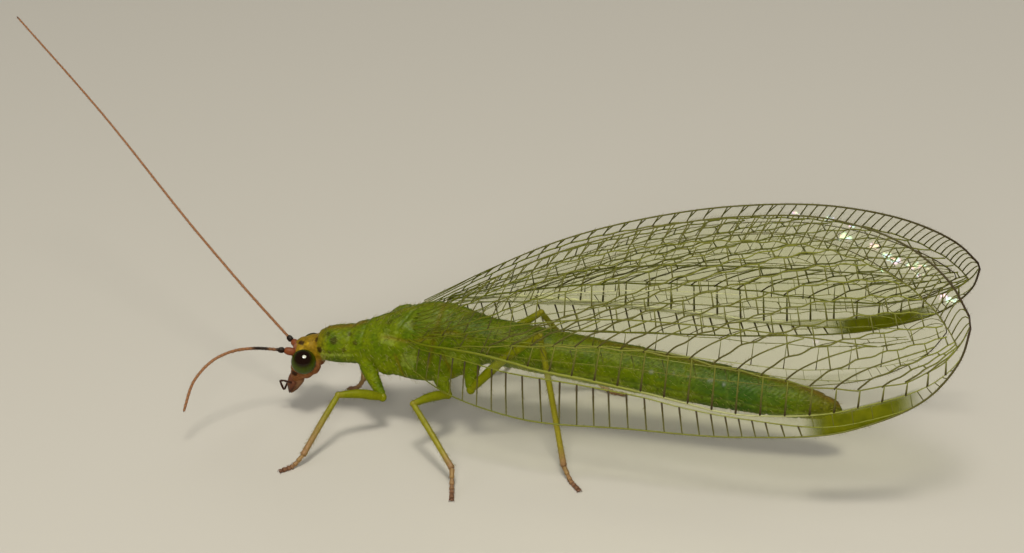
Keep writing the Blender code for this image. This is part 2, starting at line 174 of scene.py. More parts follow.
def ball(middle, radii, rings=20, sides=28):
    """An egg shape with its poles up and down."""
    lift = np.linspace(-math.pi / 2, math.pi / 2, rings + 1)[1:-1]
    turn = np.linspace(0, 2 * math.pi, sides, endpoint=False)
    around = np.stack(
        (
            np.outer(np.cos(lift), np.cos(turn)),
            np.outer(np.cos(lift), np.sin(turn)),
            np.outer(np.sin(lift), np.ones(sides)),
        ),
        -1,
    ).reshape(-1, 3)
    points = np.concatenate([around, [(0, 0, -1.0), (0, 0, 1.0)]]) * radii + np.array(middle)
    index, walls = ring_walls(rings - 1, sides)
    bottom, top = len(points) - 2, len(points) - 1
    walls += [[bottom, b, a] for a, b in zip(index[0], np.roll(index[0], -1))]
    walls += [[top, a, b] for a, b in zip(index[-1], np.roll(index[-1], -1))]
    return points, walls


def hairs(roots, directions, lengths, thick):
    """Fine three-sided hairs that taper and bend a little from their roots to their tips."""
    roots = np.asarray(roots, float)
    count = len(roots)
    ahead = unit_rows(directions)
    lengths = np.broadcast_to(lengths, count)[:, None]
    side = unit_rows(np.cross(ahead, (0.31, 0.17, 0.93)))
    above = np.cross(ahead, side)
    rings = []
    for share, width in ((0.0, 1.0), (0.55, 0.7)):
        bend = above * lengths * HAIR_BEND * share**2
        for turn in (0.0, 2.094, 4.189):  # a third of a turn apart
            out = side * math.cos(turn) + above * math.sin(turn)
            rings.append(roots + ahead * lengths * share + bend + out * thick * width)
    rings.append(roots + ahead * lengths + above * lengths * HAIR_BEND)
    points = np.stack(rings, 1).reshape(-1, 3)
    pattern = ((0, 1, 4, 3), (1, 2, 5, 4), (2, 0, 3, 5), (3, 4, 6), (4, 5, 6), (5, 3, 6), (2, 1, 0))
    faces = [[corner + 7 * i for corner in face] for i in range(count) for face in pattern]
    return points, faces


def mirrored(shape):
    """The shape on the other side of the body, with its faces still outward."""
    points, faces = shape
    return points * MIRROR, [list(face)[::-1] for face in faces]


def linked(name, data):
    """A new object in the scene."""
    made = bpy.data.objects.new(name, data)
    bpy.context.collection.objects.link(made)
    return made


def piece(name, material, slot, points, faces, paints=None, replaces=()):
    """Makes the piece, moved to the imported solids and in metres."""
    mesh = bpy.data.meshes.new(name)
    mesh.from_pydata(((np.asarray(points) + SHIFT) * MM).tolist(), [], faces)
    mesh.polygons.foreach_set("use_smooth", np.ones(len(mesh.polygons), bool))
    for paint, values in (paints or {}).items():
        kept = mesh.attributes.new(paint, "FLOAT", "POINT")
        kept.data.foreach_set("value", np.ascontiguousarray(values, np.float32))
    mesh.materials.append(material)
    made = linked(name, mesh)
    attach(made, "root")
    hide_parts(*replaces)
    return made


# Materials

def linear(hex_colour):
    """The linear colour of an sRGB hex."""
    shares = [int(hex_colour[i : i + 2], 16) / 255 for i in (0, 2, 4)]
    return tuple(v / 12.92 if v <= 0.04045 else ((v + 0.055) / 1.055) ** 2.4 for v in shares) + (1.0,)


def node(tree, kind, inputs=None, **settings):
    """Adds a shader node; an input takes a value or the output of another node."""
    made = tree.nodes.new(kind)
    for name, value in settings.items():
        setattr(made, name, value)
    for name, value in (inputs or {}).items():
        if isinstance(value, bpy.types.NodeSocket):
            tree.links.new(value, made.inputs[name])
        else:
            made.inputs[name].default_value = value
    return made


def empty_material(name):
    material = bpy.data.materials.new(name)
    material.use_nodes = True
    material.node_tree.nodes.clear()
    return material, material.node_tree


def cuticle(name, hex_colour, paints=(), second=None, patch=0.7, grain=0.06, mottle=0.10,
            relief=0.005, rough=0.42, glow=0.0):
    """Waxy insect cuticle, which gives a weak, soft shine.

    patch and grain are the sizes in mm of its colour patches and of its fine mottling, and relief
    is the height in mm of its fine bumps. The paints are laid over it one after another."""
    material, tree = empty_material(name)
    place = node(tree, "ShaderNodeTexCoord").outputs["Object"]
    fine = node(
        tree, "ShaderNodeTexNoise", {"Vector": place, "Scale": 1000 / grain, "Detail": 3.0}
    ).outputs["Fac"]
    colour = linear(hex_colour)
    if second:
        wide = node(
            tree, "ShaderNodeTexNoise", {"Vector": place, "Scale": 1000 / patch, "Detail": 2.0}
        ).outputs["Fac"]
        amount = node(
            tree, "ShaderNodeMapRange", {"Value": wide, "From Min": 0.38, "From Max": 0.66}
        ).outputs["Result"]
        colour = node(
            tree, "ShaderNodeMix", {0: amount, 6: colour, 7: linear(second)}, data_type="RGBA"
        ).outputs[2]
    for paint, paint_hex in paints:
        amount = node(tree, "ShaderNodeAttribute", attribute_name=paint).outputs["Fac"]
        colour = node(
            tree, "ShaderNodeMix", {0: amount, 6: colour, 7: linear(paint_hex)}, data_type="RGBA"
        ).outputs[2]
    lightness = node(
        tree,
        "ShaderNodeMapRange",
        {"Value": fine, "From Min": 0.3, "From Max": 0.7, "To Min": 1 - mottle, "To Max": 1 + mottle},
    ).outputs["Result"]
    colour = node(tree, "ShaderNodeHueSaturation", {"Value": lightness, "Color": colour}).outputs["Color"]
    normal = node(
        tree, "ShaderNodeBump", {"Height": fine, "Distance": relief * MM, "Strength": 1.0}
    ).outputs["Normal"]
    skin = node(
        tree,
        "ShaderNodeBsdfPrincipled",
        {
            "Base Color": colour,
            "Roughness": rough,
            "Specular IOR Level": 0.07,
            "Normal": normal,
            "Subsurface Weight": glow,
            "Subsurface Radius": (0.9, 1.0, 0.4),
            "Subsurface Scale": 0.25 * MM,
        },
    )
    node(tree, "ShaderNodeOutputMaterial", {"Surface": skin.outputs[0]})
    return material


def eye_material():
    """Dark glossy eye with facets of about 0.025 mm, green at its rim, with painted shade that turns it brown
    above its middle.
    """
    material, tree = empty_material("eye_facets")
    place = node(tree, "ShaderNodeTexCoord").outputs["Object"]
    facets = node(
        tree, "ShaderNodeTexVoronoi", {"Vector": place, "Scale": 1000 / 0.025}
    ).outputs["Distance"]
    amount = node(tree, "ShaderNodeAttribute", attribute_name="green").outputs["Fac"]
    colour = node(
        tree, "ShaderNodeMix", {0: amount, 6: linear("160903"), 7: linear("364202")}, data_type="RGBA"
    ).outputs[2]
    normal = node(
        tree, "ShaderNodeBump", {"Height": facets, "Distance": 0.002 * MM, "Strength": 0.35}, invert=True
    ).outputs["Normal"]
    skin = node(
        tree,
        "ShaderNodeBsdfPrincipled",
        {
            "Base Color": colour,
            "Roughness": 0.4,
            "Specular IOR Level": 0.0,
            "Normal": normal,
            "Coat Weight": 0.5,
            "Coat Roughness": 0.04,
            "Coat IOR": 1.42,
        },
    )
    node(tree, "ShaderNodeOutputMaterial", {"Surface": skin.outputs[0]})
    return material


def membrane_material():
    """Clear wing membrane: almost see-through with a faint olive tint and a weak glossy film.

    The film's hue wanders over about 0.5 mm and its ripples are about 0.3 mm apart. Paints add
    the glints, which are painted highlights that glow, the pale band between the two front veins
    and the green spot of the front edge, which glows a little as painted light."""
    material, tree = empty_material("clear_wing_membrane")
    place = node(tree, "ShaderNodeTexCoord").outputs["Object"]
    wide, waves = (
        node(tree, "ShaderNodeTexNoise", {"Vector": place, "Scale": 1000 / size, "Detail": detail}).outputs[0]
        for size, detail in ((0.5, 2.0), (0.30, 3.0))
    )
    normal = node(
        tree, "ShaderNodeBump", {"Height": waves, "Distance": 0.05 * MM, "Strength": 1.0}
    ).outputs["Normal"]
    # The glints are painted highlights: sparkling patches that glow by emission, though the wing is no lamp.
    glint = node(tree, "ShaderNodeAttribute", attribute_name="glint").outputs["Fac"]
    # The noise runs five times through all hues.
    turns = node(tree, "ShaderNodeMath", {0: wide, 1: 5.0}, operation="MULTIPLY").outputs[0]
    hue = node(tree, "ShaderNodeMath", {0: turns}, operation="FRACT").outputs[0]
    fullness = node(
        tree, "ShaderNodeMapRange", {"Value": glint, "To Min": 0.06, "To Max": 0.35}
    ).outputs["Result"]
    sheen_colour = node(
        tree, "ShaderNodeCombineColor", {0: hue, 1: fullness, 2: 1.0}, mode="HSV"
    ).outputs[0]
    mirroring = node(
        tree, "ShaderNodeMapRange", {"Value": glint, "To Min": 1.0, "To Max": 0.0}
    ).outputs["Result"]
    glow = node(tree, "ShaderNodeMath", {0: glint, 1: 1.2}, operation="MULTIPLY").outputs[0]
    film = node(
        tree,
        "ShaderNodeBsdfPrincipled",
        {
            "Base Color": sheen_colour,
            "Metallic": mirroring,
            "Roughness": 0.2,
            "Normal": normal,
            "Emission Color": sheen_colour,
            "Emission Strength": glow,
        },
    ).outputs[0]
    clear = node(tree, "ShaderNodeBsdfTransparent", {"Color": (0.984, 0.988, 0.948, 1.0)}).outputs[0]
    facing = node(tree, "ShaderNodeLayerWeight", {"Blend": 0.16, "Normal": normal}).outputs["Fresnel"]
    shine = node(
        tree, "ShaderNodeMapRange", {"Value": facing, "To Min": 0.0, "To Max": 0.11}
    ).outputs["Result"]
    shine = node(tree, "ShaderNodeMath", {0: shine, 1: glint}, operation="ADD", use_clamp=True).outputs[0]
    skin = node(tree, "ShaderNodeMixShader", {0: shine, 1: clear, 2: film}).outputs[0]
    mottled = node(
        tree, "ShaderNodeMapRange", {"Value": waves, "From Min": 0.3, "From Max": 0.7}
    ).outputs["Result"]
    tone = node(
        tree, "ShaderNodeMix", {0: mottled, 6: linear("5c6200"), 7: linear("767904")}, data_type="RGBA"
    ).outputs[2]
    # The green spot glows a little by emission: painted light that brightens it where the far wing lies in
    # shade.
    green = node(
        tree,
        "ShaderNodeBsdfPrincipled",
        {
            "Base Color": tone,
            "Roughness": 0.6,
            "Specular IOR Level": 0.1,
            "Emission Color": tone,
            "Emission Strength": 0.42,
        },
    ).outputs[0]
    through = node(tree, "ShaderNodeBsdfTranslucent", {"Color": tone}).outputs[0]
    green = node(tree, "ShaderNodeMixShader", {0: 0.6, 1: green, 2: through}).outputs[0]
    spot = node(tree, "ShaderNodeAttribute", attribute_name="spot").outputs["Fac"]
    chalky = node(
        tree,
        "ShaderNodeBsdfPrincipled",
        {"Base Color": linear("a6a878"), "Roughness": 0.6, "Specular IOR Level": 0.1},
    ).outputs[0]
    band = node(tree, "ShaderNodeAttribute", attribute_name="band").outputs["Fac"]
    skin = node(tree, "ShaderNodeMixShader", {0: band, 1: skin, 2: chalky}).outputs[0]
    skin = node(tree, "ShaderNodeMixShader", {0: spot, 1: skin, 2: green}).outputs[0]
    node(tree, "ShaderNodeOutputMaterial", {"Surface": skin})
    return material


# Body: soft and matt, with olive and leaf-green patches of about 0.4 mm that mix like watercolour.
body_skin = cuticle(
    "green_body_cuticle",
    "5e6a02",
    paints=(
        ("rear", "37500a"),
        ("teal", "28502a"),
        ("ochre", "7d6312"),
        ("pale", "93a04a"),
        ("brown", "6a5212"),
        # a painted highlight: golden shine on the top of the head and at the top edge of the eye
        ("gold_highlight", "9c7e14"),
        ("flesh", "6e4228"),
        ("rose", "8c5644"),
        ("dark", "2a1606"),
    ),
    second="465900",
    patch=0.42,
    grain=0.075,
    mottle=0.26,
    relief=0.016,
    rough=0.5,
    glow=0.10,
)
# Legs: evenly yellow-green, browner down the shin and reddish brown at the foot.
leg_skin = cuticle(
    "leg_cuticle", "6c7004", paints=(("tibia", "857a26"), ("tarsus", "86644a"), ("dark", "3a1a10")),
    grain=0.05, mottle=0.14, relief=0.008, rough=0.5,
)
# Feelers: light brown with darker rings, a reddish first joint and a black second one.
feeler_skin = cuticle(
    "feeler_cuticle", "8c6240",
    paints=(("ring", "64412a"), ("flesh", "6e3a1f"), ("dark", "1c120c")),
    grain=0.05, rough=0.55,
)
# Mouthparts: red-brown, a little harder and shinier than the body, with dark tips.
mouth_skin = cuticle(
    "mouth_cuticle", "613b28", paints=(("pale", "a07c54"), ("dark", "20100e")), grain=0.05, rough=0.45
)
# Veins: olive horn, greener at the root, cream along the strong vein and dark brown at crossings.
vein_skin = cuticle(
    "wing_veins", "72762a", paints=(("root", "5a6205"), ("pale", "f4f1d4"), ("dark", "33271a")),
    grain=0.08, rough=0.55,
)
# Hairs: straw-coloured on the body, brown on the wings.
hair_skin = cuticle("fine_hairs", "a09660", paints=(("dark", "51452e"),), rough=0.6)
eye_skin = eye_material()
membrane_skin = membrane_material()


# Body: head, thorax and abdomen as one skin

# x, height of the middle line, half width and half height of the neck shield and thorax
TRUNK = (
    (-5.40, 2.17, 0.40, 0.42),
    (-5.22, 2.21, 0.48, 0.46),
    (-5.06, 2.24, 0.53, 0.50),
    (-4.60, 2.29, 0.57, 0.54),
    (-4.05, 2.40, 0.64, 0.63),
    (-3.40, 2.50, 0.79, 0.80),
    (-2.80, 2.62, 0.86, 0.94),
    (-2.10, 2.72, 0.84, 1.03),
    (-1.50, 2.76, 0.80, 0.93),
    (-0.95, 2.77, 0.68, 0.75),
    (-0.60, 2.79, 0.62, 0.64),
)
ABDOMEN_LINE = ((-0.70, 2.80), (9.02, 1.72))
ABDOMEN_RADIUS = 0.62
# shares along the abdomen and its radius there as shares of the full one
ABDOMEN_TAPER = (
    (0, 0.45, 0.70, 0.80, 0.87, 0.93, 0.965, 0.99, 1.0),
    (1, 1, 0.92, 0.84, 0.74, 0.60, 0.44, 0.22, 0.06),
)
# where along x the abdomen's segments meet
SEGMENT_EDGES = np.array((-0.95, 0.05, 1.20, 2.40, 3.62, 4.84, 5.98, 7.00, 7.86, 8.52, 9.20))


def abdomen_middle(x):
    """Height of the abdomen's middle line."""
    return np.interp(x, *zip(*ABDOMEN_LINE))


def abdomen_size(x):
    """Radius of the abdomen."""
    share = np.clip((x - ABDOMEN_LINE[0][0]) / (ABDOMEN_LINE[1][0] - ABDOMEN_LINE[0][0]), 0, 1)
    return ABDOMEN_RADIUS * np.interp(share, *ABDOMEN_TAPER)


def segment_ends(x):
    """Where along x the abdomen's segment around each x starts and ends."""
    at = np.clip(np.searchsorted(SEGMENT_EDGES, x) - 1, 0, len(SEGMENT_EDGES) - 2)
    return SEGMENT_EDGES[at], SEGMENT_EDGES[at + 1]


def body_rings(stations, sides=72):
    """A closed body along x through stations of x, middle height, half width, half height."""
    turn = np.linspace(0, 2 * math.pi, sides, endpoint=False)
    x, z, wide, high = np.array(stations).T[:, :, None]
    return closed_rings(np.stack((x + 0 * turn, wide * np.cos(turn), z + high * np.sin(turn)), -1))


def pair(make, middle, *rest):
    """The shape and its mirror image."""
    shape = make(middle, *rest)
    return [shape, mirrored(shape)]


def body_shapes():
    """Round shapes that overlap, for one skin around them all."""
    along = np.linspace(ABDOMEN_LINE[0][0] - 0.1, ABDOMEN_LINE[1][0] - 0.002, 260)
    radius = np.maximum(abdomen_size(along), 0.02)
    abdomen = np.stack((along, abdomen_middle(along), radius * 1.02, radius), -1)
    shapes = [
        body_rings(smooth_route(TRUNK, 160)),
        body_rings(abdomen),
        tube(smooth_route(((-5.62, 0, 1.96), (-5.42, 0, 2.08), (-5.10, 0, 2.20)), 8), 0.38, 32),
        # head: capsule, top of the head, face and cheeks
        ball((-5.84, 0, 1.84), (0.36, 0.46, 0.485), 32, 48),
        ball((-5.61, 0, 2.13), (0.29, 0.37, 0.285), 24, 32),
        ball((-5.93, 0, 1.80), (0.30, 0.30, 0.42), 24, 32),
        tube(
            ((-5.88, 0, 1.62), (-6.00, 0, 1.34), (-6.10, 0, 1.08), (-6.15, 0, 0.96)),
            (0.34, 0.28, 0.19, 0.13),
            32,
        ),
        ball((-6.09, 0, 1.24), (0.14, 0.19, 0.27), 20, 24),
        *pair(ball, (-5.75, -0.28, 1.47), (0.23, 0.17, 0.26)),
        *pair(ball, (-5.52, -0.26, 1.66), (0.20, 0.18, 0.30)),
        # small shields between the wing roots
        ball((-2.36, 0, 3.36), (0.32, 0.32, 0.30)),
        ball((-1.16, 0, 3.26), (0.26, 0.28, 0.26)),
        # last plates of the abdomen
        *pair(ball, (8.62, -0.10, 1.80), (0.32, 0.14, 0.19)),
        ball((8.44, 0, 1.66), (0.36, 0.20, 0.20)),
        # humps of the back
        *pair(ball, (-2.86, -0.38, 3.02), (0.66, 0.40, 0.42)),
        *pair(ball, (-1.56, -0.34, 3.14), (0.44, 0.34, 0.34)),
        # side plates, and one long swelling that evens out the underside
        *pair(ball, (-3.36, -0.50, 2.22), (0.44, 0.30, 0.52)),
        *pair(ball, (-2.66, -0.58, 2.28), (0.44, 0.28, 0.56)),
        *pair(ball, (-1.96, -0.56, 2.32), (0.40, 0.28, 0.54)),
        *pair(ball, (-1.30, -0.50, 2.40), (0.38, 0.26, 0.50)),
        *pair(ball, (-2.40, -0.42, 2.00), (1.15, 0.34, 0.38)),
        # wing shoulders
        *pair(ball, (-2.98, -0.70, 2.72), (0.32, 0.15, 0.18)),
        *pair(ball, (-1.62, -0.62, 3.00), (0.26, 0.14, 0.16)),
    ]
    for first, middle, last, thick, thin in (
        ((-4.06, -0.36, 2.12), (-3.84, -0.52, 1.72), (-3.47, -0.78, 1.18), 0.27, 0.13),
        ((-1.98, -0.40, 2.20), (-1.84, -0.64, 1.82), (-1.62, -0.84, 1.48), 0.30, 0.14),
        ((-1.02, -0.40, 2.50), (-0.98, -0.68, 2.10), (-0.96, -0.88, 1.72), 0.30, 0.14),
    ):
        hip = smooth_route((first, middle, last), 10)
        shapes += pair(tube, hip, np.linspace(thick, thin, 10), 24)
    return shapes


def one_skin(shapes, grain):
    """One closed surface around all the overlapping shapes, in quads of about the grain's size."""
    raw = Gather()
    for shape in shapes:
        raw.add(shape)
    points, faces, _ = raw.parts()
    mesh = bpy.data.meshes.new("raw_body")
    mesh.from_pydata(points.tolist(), [], faces)
    maker = linked("raw_body", mesh)
    wrap = maker.modifiers.new("wrap", "REMESH")
    wrap.mode = "VOXEL"
    wrap.voxel_size = grain
    done = bpy.data.meshes.new_from_object(maker.evaluated_get(bpy.context.evaluated_depsgraph_get()))
    points = np.zeros(len(done.vertices) * 3)
    done.vertices.foreach_get("co", points)
    corners = np.zeros(len(done.loops), np.int32)
    done.loops.foreach_get("vertex_index", corners)
    bpy.data.objects.remove(maker)
    bpy.data.meshes.remove(mesh)
    bpy.data.meshes.remove(done)
    return points.reshape(-1, 3), corners.reshape(-1, 4)


def relaxed(points, quads, rounds):
    """Evens out the steps that the voxels leave: each round draws every point to its neighbours."""
    ends = np.concatenate([quads[:, (i, (i + 1) % 4)] for i in range(4)])
    degree = np.bincount(ends[:, 0], minlength=len(points))[:, None]
    for _ in range(rounds):
        total = np.stack(
            [np.bincount(ends[:, 0], points[ends[:, 1], axis], len(points)) for axis in range(3)], -1
        )
        points = points * 0.45 + total / degree * 0.55
    return points


def outward(points, quads):
    """The direction away from the surface at each point."""
    facing = np.cross(points[quads[:, 2]] - points[quads[:, 0]], points[quads[:, 3]] - points[quads[:, 1]])
    total = np.zeros_like(points)
    for corner in range(4):
        for axis in range(3):
            total[:, axis] += np.bincount(quads[:, corner], facing[:, axis], len(points))
    return unit_rows(total)


def body_frame(points):
    """How high and how far to the side a point lies on the body, as shares of its size there."""
    x, y, z = points.T
    trunk = np.array(TRUNK)
    middle = np.where(x < -0.7, np.interp(x, trunk[:, 0], trunk[:, 1]), abdomen_middle(x))
    size = np.where(x < -0.7, np.interp(x, trunk[:, 0], trunk[:, 3]), np.maximum(abdomen_size(x), 0.15))
    return x, y, z, (z - middle) / size, np.abs(y)


def thorax_grooves(x, z, high):
    """How far in mm each groove of the thorax's side is, and where on the body it runs."""
    thorax = step(-4.0, -3.8, x) * step(-0.9, -1.1, x)
    flank = thorax * step(0.1, -0.2, high)
    return (
        (x + 2.06 - 0.18 * (z - 2.7), thorax * step(-0.7, -0.3, high)),
        (x + 3.04 + 0.30 * (z - 2.4), flank),
        (x + 1.66 + 0.30 * (z - 2.4), flank),
        (high - 0.42 - 0.12 * np.sin(x * 3.1), thorax * step(-3.6, -3.3, x)),
    )


def body_relief(points):
    """Height in mm of grooves and plates on the skin."""
    x, y, z, high, side = body_frame(points)
    abdomen = step(-0.9, -0.5, x) * step(9.1, 8.6, x)
    start, end = segment_ends(x)
    gone, left = x - start, end - x
    # Each segment swells towards its hind edge, and a fold runs along the abdomen's side.
    plates = 0.012 * gone / (end - start) - 0.024 * crease(gone, 0.05) - 0.012 * crease(left, 0.03)
    fold = crease(high + 0.22, 0.10)
    height = abdomen * (plates * (1 - 0.6 * fold) - 0.028 * fold)
    thorax = step(-4.0, -3.8, x) * step(-0.9, -1.1, x)
    # The two grooves of the flank end above the underside.
    ending = step(-1.0, -0.7, high)
    for (away, place), depth, width in zip(
        thorax_grooves(x, z, high),
        (0.026, 0.030 * ending, 0.030 * ending, 0.020),
        (0.06, 0.045, 0.045, 0.05),
    ):
        height -= depth * crease(away, width) * place
    # back: the middle line and the edges of its plates
    height -= thorax * 0.025 * crease(y, 0.035) * step(0.5, 0.8, high)
    height -= thorax * 0.030 * crease(x + 2.62 + 0.5 * side, 0.045) * step(0.4, 0.7, high)
    height -= thorax * 0.030 * crease(x + 1.36 + 0.4 * side, 0.04) * step(0.4, 0.7, high)
    # neck shield: its hind edge, two cross grooves, a side fold and a raised front rim
    height -= 0.026 * crease(x + 4.02 + 0.10 * (1 - high), 0.06)
    neck_shield = step(-5.25, -5.1, x) * step(-4.0, -4.1, x)
    height -= neck_shield * 0.030 * crease(x + 4.44, 0.07) * step(-0.1, 0.3, high)
    height -= neck_shield * 0.014 * crease(high + 0.10, 0.12)
    height += neck_shield * 0.018 * crease(high - 0.12, 0.10)
    height += 0.020 * crease(x + 5.16, 0.05) * step(-0.1, 0.2, high)
    # head: the seams round the mouth and beside the face
    head = step(-5.4, -5.6, x)
    height -= head * 0.020 * crease(z - 1.30 + 0.1 * (x + 6.1), 0.03) * step(0.34, 0.25, side)
    height -= head * 0.018 * crease(side - 0.24, 0.03) * step(1.3, 1.45, z) * step(-5.9, -6.05, x)
    dimples = 0.006 * np.sin(points @ (23.0, 11.0, -17.0)) * np.sin(points @ (-13.0, 19.0, 29.0))
    return height + dimples * (1 - 0.5 * head)


def blot(points, middle, radii, ragged=0.2):
    """A soft-edged spot with an uneven outline."""
    away = (points - np.array(middle)) / np.array(radii)
    wobble = np.sin(away @ (3.1, 1.7, 2.3) + middle[0] * 7)
    wobble = wobble * np.sin(away @ (-1.9, 2.9, 3.7) + middle[0] * 5)
    return step(1.15, 0.75, np.linalg.norm(away, axis=1) * (1 + ragged * wobble))


# middle, radii and strength of the dark spots of the near side, which the far side repeats
DARK_SPOTS = (
    # neck shield
    ((-4.88, -0.46, 2.55), (0.11, 0.2, 0.10), 0.65),
    ((-4.46, -0.46, 2.76), (0.09, 0.2, 0.06), 0.55),
    ((-4.57, -0.52, 2.36), (0.07, 0.2, 0.08), 0.6),
    ((-4.26, -0.54, 2.60), (0.08, 0.2, 0.06), 0.6),
    ((-4.99, -0.48, 2.21), (0.06, 0.2, 0.05), 0.6),
    ((-5.08, -0.30, 2.66), (0.07, 0.12, 0.06), 0.5),
    # head
    ((-5.56, -0.26, 2.40), (0.04, 0.09, 0.05), 0.6),
    ((-5.44, -0.24, 2.44), (0.07, 0.10, 0.09), 0.8),
    ((-5.29, -0.42, 2.23), (0.09, 0.16, 0.09), 0.9),
    ((-5.88, -0.20, 2.26), (0.11, 0.09, 0.05), 0.9),
    ((-6.12, -0.26, 1.30), (0.12, 0.16, 0.08), 0.95),
    ((-6.36, -0.10, 1.10), (0.08, 0.10, 0.10), 0.6),
    # back
    ((-3.30, -0.52, 3.36), (0.12, 0.12, 0.12), 0.35),
    ((-2.60, -0.58, 3.36), (0.10, 0.12, 0.10), 0.35),
)


def body_paints(points):
    """How strong each of the body's paints is at each point."""
    x, y, z, high, side = body_frame(points)
    near_and_far = np.stack((x, -side, z), -1)
    # The head's colour reaches farther back behind the eye than on top.
    head = step(-5.36, -5.46, x - 0.13 * step(2.25, 1.95, z))
    spots = 0
    for middle, radii, strength in DARK_SPOTS:
        spots = np.maximum(spots, strength * blot(near_and_far, middle, radii))
    # a breathing hole on each segment of the abdomen
    holes = 0
    for start, end in zip(SEGMENT_EDGES[1:-3], SEGMENT_EDGES[2:-2]):
        middle_x = start + 0.4 * (end - start)
        middle = (middle_x, -0.6, abdomen_middle(middle_x) - 0.16)
        hole = blot(near_and_far, middle, (0.04, 0.3, 0.04))
        holes = np.maximum(holes, 0.5 * hole)
    start, end = segment_ends(x)
    between = crease(np.minimum(x - start, end - x), 0.05) * step(-0.8, -0.5, x)
    bands = 0.35 * np.sin((x - 0.4) * 5.4) * step(3.2, 4.2, x)
    rear = step(2.4, 6.4, x) * (0.62 + 0.38 * np.sin((x - 5.3) * 1.9)) + 0.25 * bands * (high < 0.6)
    teal = 0
    for middle_x in (4.55, 5.25, 5.95, 6.55, 7.2):
        middle = (middle_x, -0.5, abdomen_middle(middle_x) + 0.22)
        cloud = blot(near_and_far, middle, (0.34, 0.3, 0.20), 0.6)
        teal = np.maximum(teal, 0.25 * cloud)
    # painted shade: brown laid in the grooves of the thorax's side, where shade falls in them
    groove_shade = sum(
        crease(away, width) * place
        for (away, place), width in zip(thorax_grooves(x, z, high), (0.07, 0.05, 0.05, 0.06))
    )
    back_line = crease(y, 0.13) * step(0.55, 0.9, high)
    return {
        "rear": np.clip(rear, 0, 1) * step(8.9, 8.0, x),
        "teal": teal,
        "ochre": np.clip(head + 0.45 * step(-5.0, -5.36, x), 0, 1),
        "pale": np.clip(
            0.12 * between
            + 0.28 * crease(high + 0.20, 0.10) * step(-5.3, -5.1, x) * step(-4.3, -4.5, x)
            + 0.15 * crease(high + 0.22, 0.09) * step(-0.8, -0.4, x)
            + 0.3 * crease(x + 5.22, 0.05) * (high < 0.2)
            + 0.22 * blot(near_and_far, (-3.30, -0.8, 2.95), (0.26, 0.3, 0.20), 0.5)
            + 0.25 * blot(near_and_far, (-2.66, -0.8, 2.40), (0.22, 0.3, 0.26), 0.5)
            + 0.2 * blot(near_and_far, (-1.50, -0.8, 2.50), (0.20, 0.3, 0.22), 0.5),
            0,
            1,
        ),
        "brown": np.clip(
            0.75 * back_line * step(-5.3, -5.1, x) * step(-3.9, -4.2, x)
            + 0.55 * back_line * step(1.0, 3.0, x)
            + 0.35 * step(7.6, 8.6, x)
            + 0.25 * back_line * step(-4.0, -3.6, x) * step(-0.8, -1.2, x)
            + 0.45 * groove_shade,
            0,
            1,
        ),
        # painted highlights: the golden shine on the top of the head and at the top edge of the eye
        "gold_highlight": np.clip(
            blot(near_and_far, (-5.72, -0.36, 2.30), (0.10, 0.14, 0.07))
            + 0.8 * blot(near_and_far, (-5.84, -0.40, 2.18), (0.08, 0.10, 0.10)),
            0,
            1,
        ),
        "flesh": 0.9 * head * step(1.62, 1.35, z - 0.36 * step(-5.72, -5.48, x)),
        "rose": 0.85 * blot(near_and_far, (-6.14, -0.14, 2.02), (0.20, 0.24, 0.22), 0.1),
        "dark": np.clip(spots + holes, 0, 1),
    }


skin_points, skin_quads = one_skin(body_shapes(), SKIN_GRAIN)
skin_points = relaxed(skin_points, skin_quads, SKIN_ROUNDS)
skin_out = outward(skin_points, skin_quads)
skin_points = skin_points + skin_out * body_relief(skin_points)[:, None]
piece(
    "body_skin",
    body_skin,
    "thorax_cuticle",
    skin_points,
    skin_quads.tolist(),
    body_paints(skin_points),
    replaces=("head", "prothorax", "mesothorax", "metathorax", "abdomen"),
)

# Short pale hairs lean back along the whole body.
roots = chance.choice(len(skin_points), BODY_HAIRS, replace=False)
roots = roots[(np.abs(skin_points[roots, 1]) > 0.02) & (skin_points[roots, 0] > -5.3)]
lean = skin_out[roots] + np.array((0.9, 0.0, -0.1)) + chance.normal(0, 0.2, (len(roots), 3))
lengths = chance.uniform(0.09, 0.19, len(roots))
hair_points, hair_faces = hairs(skin_points[roots], lean, lengths, HAIR_RADIUS)
no_dark = {"dark": np.zeros(len(hair_points))}
piece("body_hairs", hair_skin, "thorax_cuticle", hair_points, hair_faces, no_dark)


# Eyes

for side_name, side in (("left", 1), ("right", -1)):
    points, faces = ball(EYE_MIDDLE, EYE_RADII, 48, 64)
    if side < 0:
        points, faces = mirrored((points, faces))
    from_middle = (points - np.array(EYE_MIDDLE) * (1, side, 1)) / EYE_RADII
    # The dark cap is painted shade, the dark pseudopupil that an eye shows where it faces the viewer; it
    # faces outward and up, and the green shows around and below it.
    green = step(0.86, 0.42, from_middle @ (0.14, -0.68 * side, 0.72))
    piece(
        f"eye_facets_{side_name}", eye_skin, "eye_surface", points, faces,
        {"green": green}, replaces=(f"eye_{side_name}",),
    )


# Mouthparts

# joints of the long feelers of the jaws: 1 for the left one, raised, and -1 for the right one, lowered
JAW_FEELERS = {
    1: (
        (-6.12, -0.18, 0.96), (-6.30, -0.25, 1.04), (-6.41, -0.25, 1.06), (-6.52, -0.25, 1.04),
        (-6.42, -0.25, 0.77),
    ),
    -1: (
        (-6.12, -0.18, 0.90), (-6.26, -0.24, 0.90), (-6.38, -0.25, 0.86), (-6.45, -0.25, 0.76),
        (-6.55, -0.24, 0.51),
    ),
}
LIP_FEELER = ((-6.10, -0.10, 0.84), (-6.15, -0.16, 0.74), (-6.24, -0.16, 0.66))
# a joint of these feelers is a little narrower at both ends
JOINT_SHAPE = np.array((0.65, 0.9, 0.96, 1.0, 0.96, 0.6))


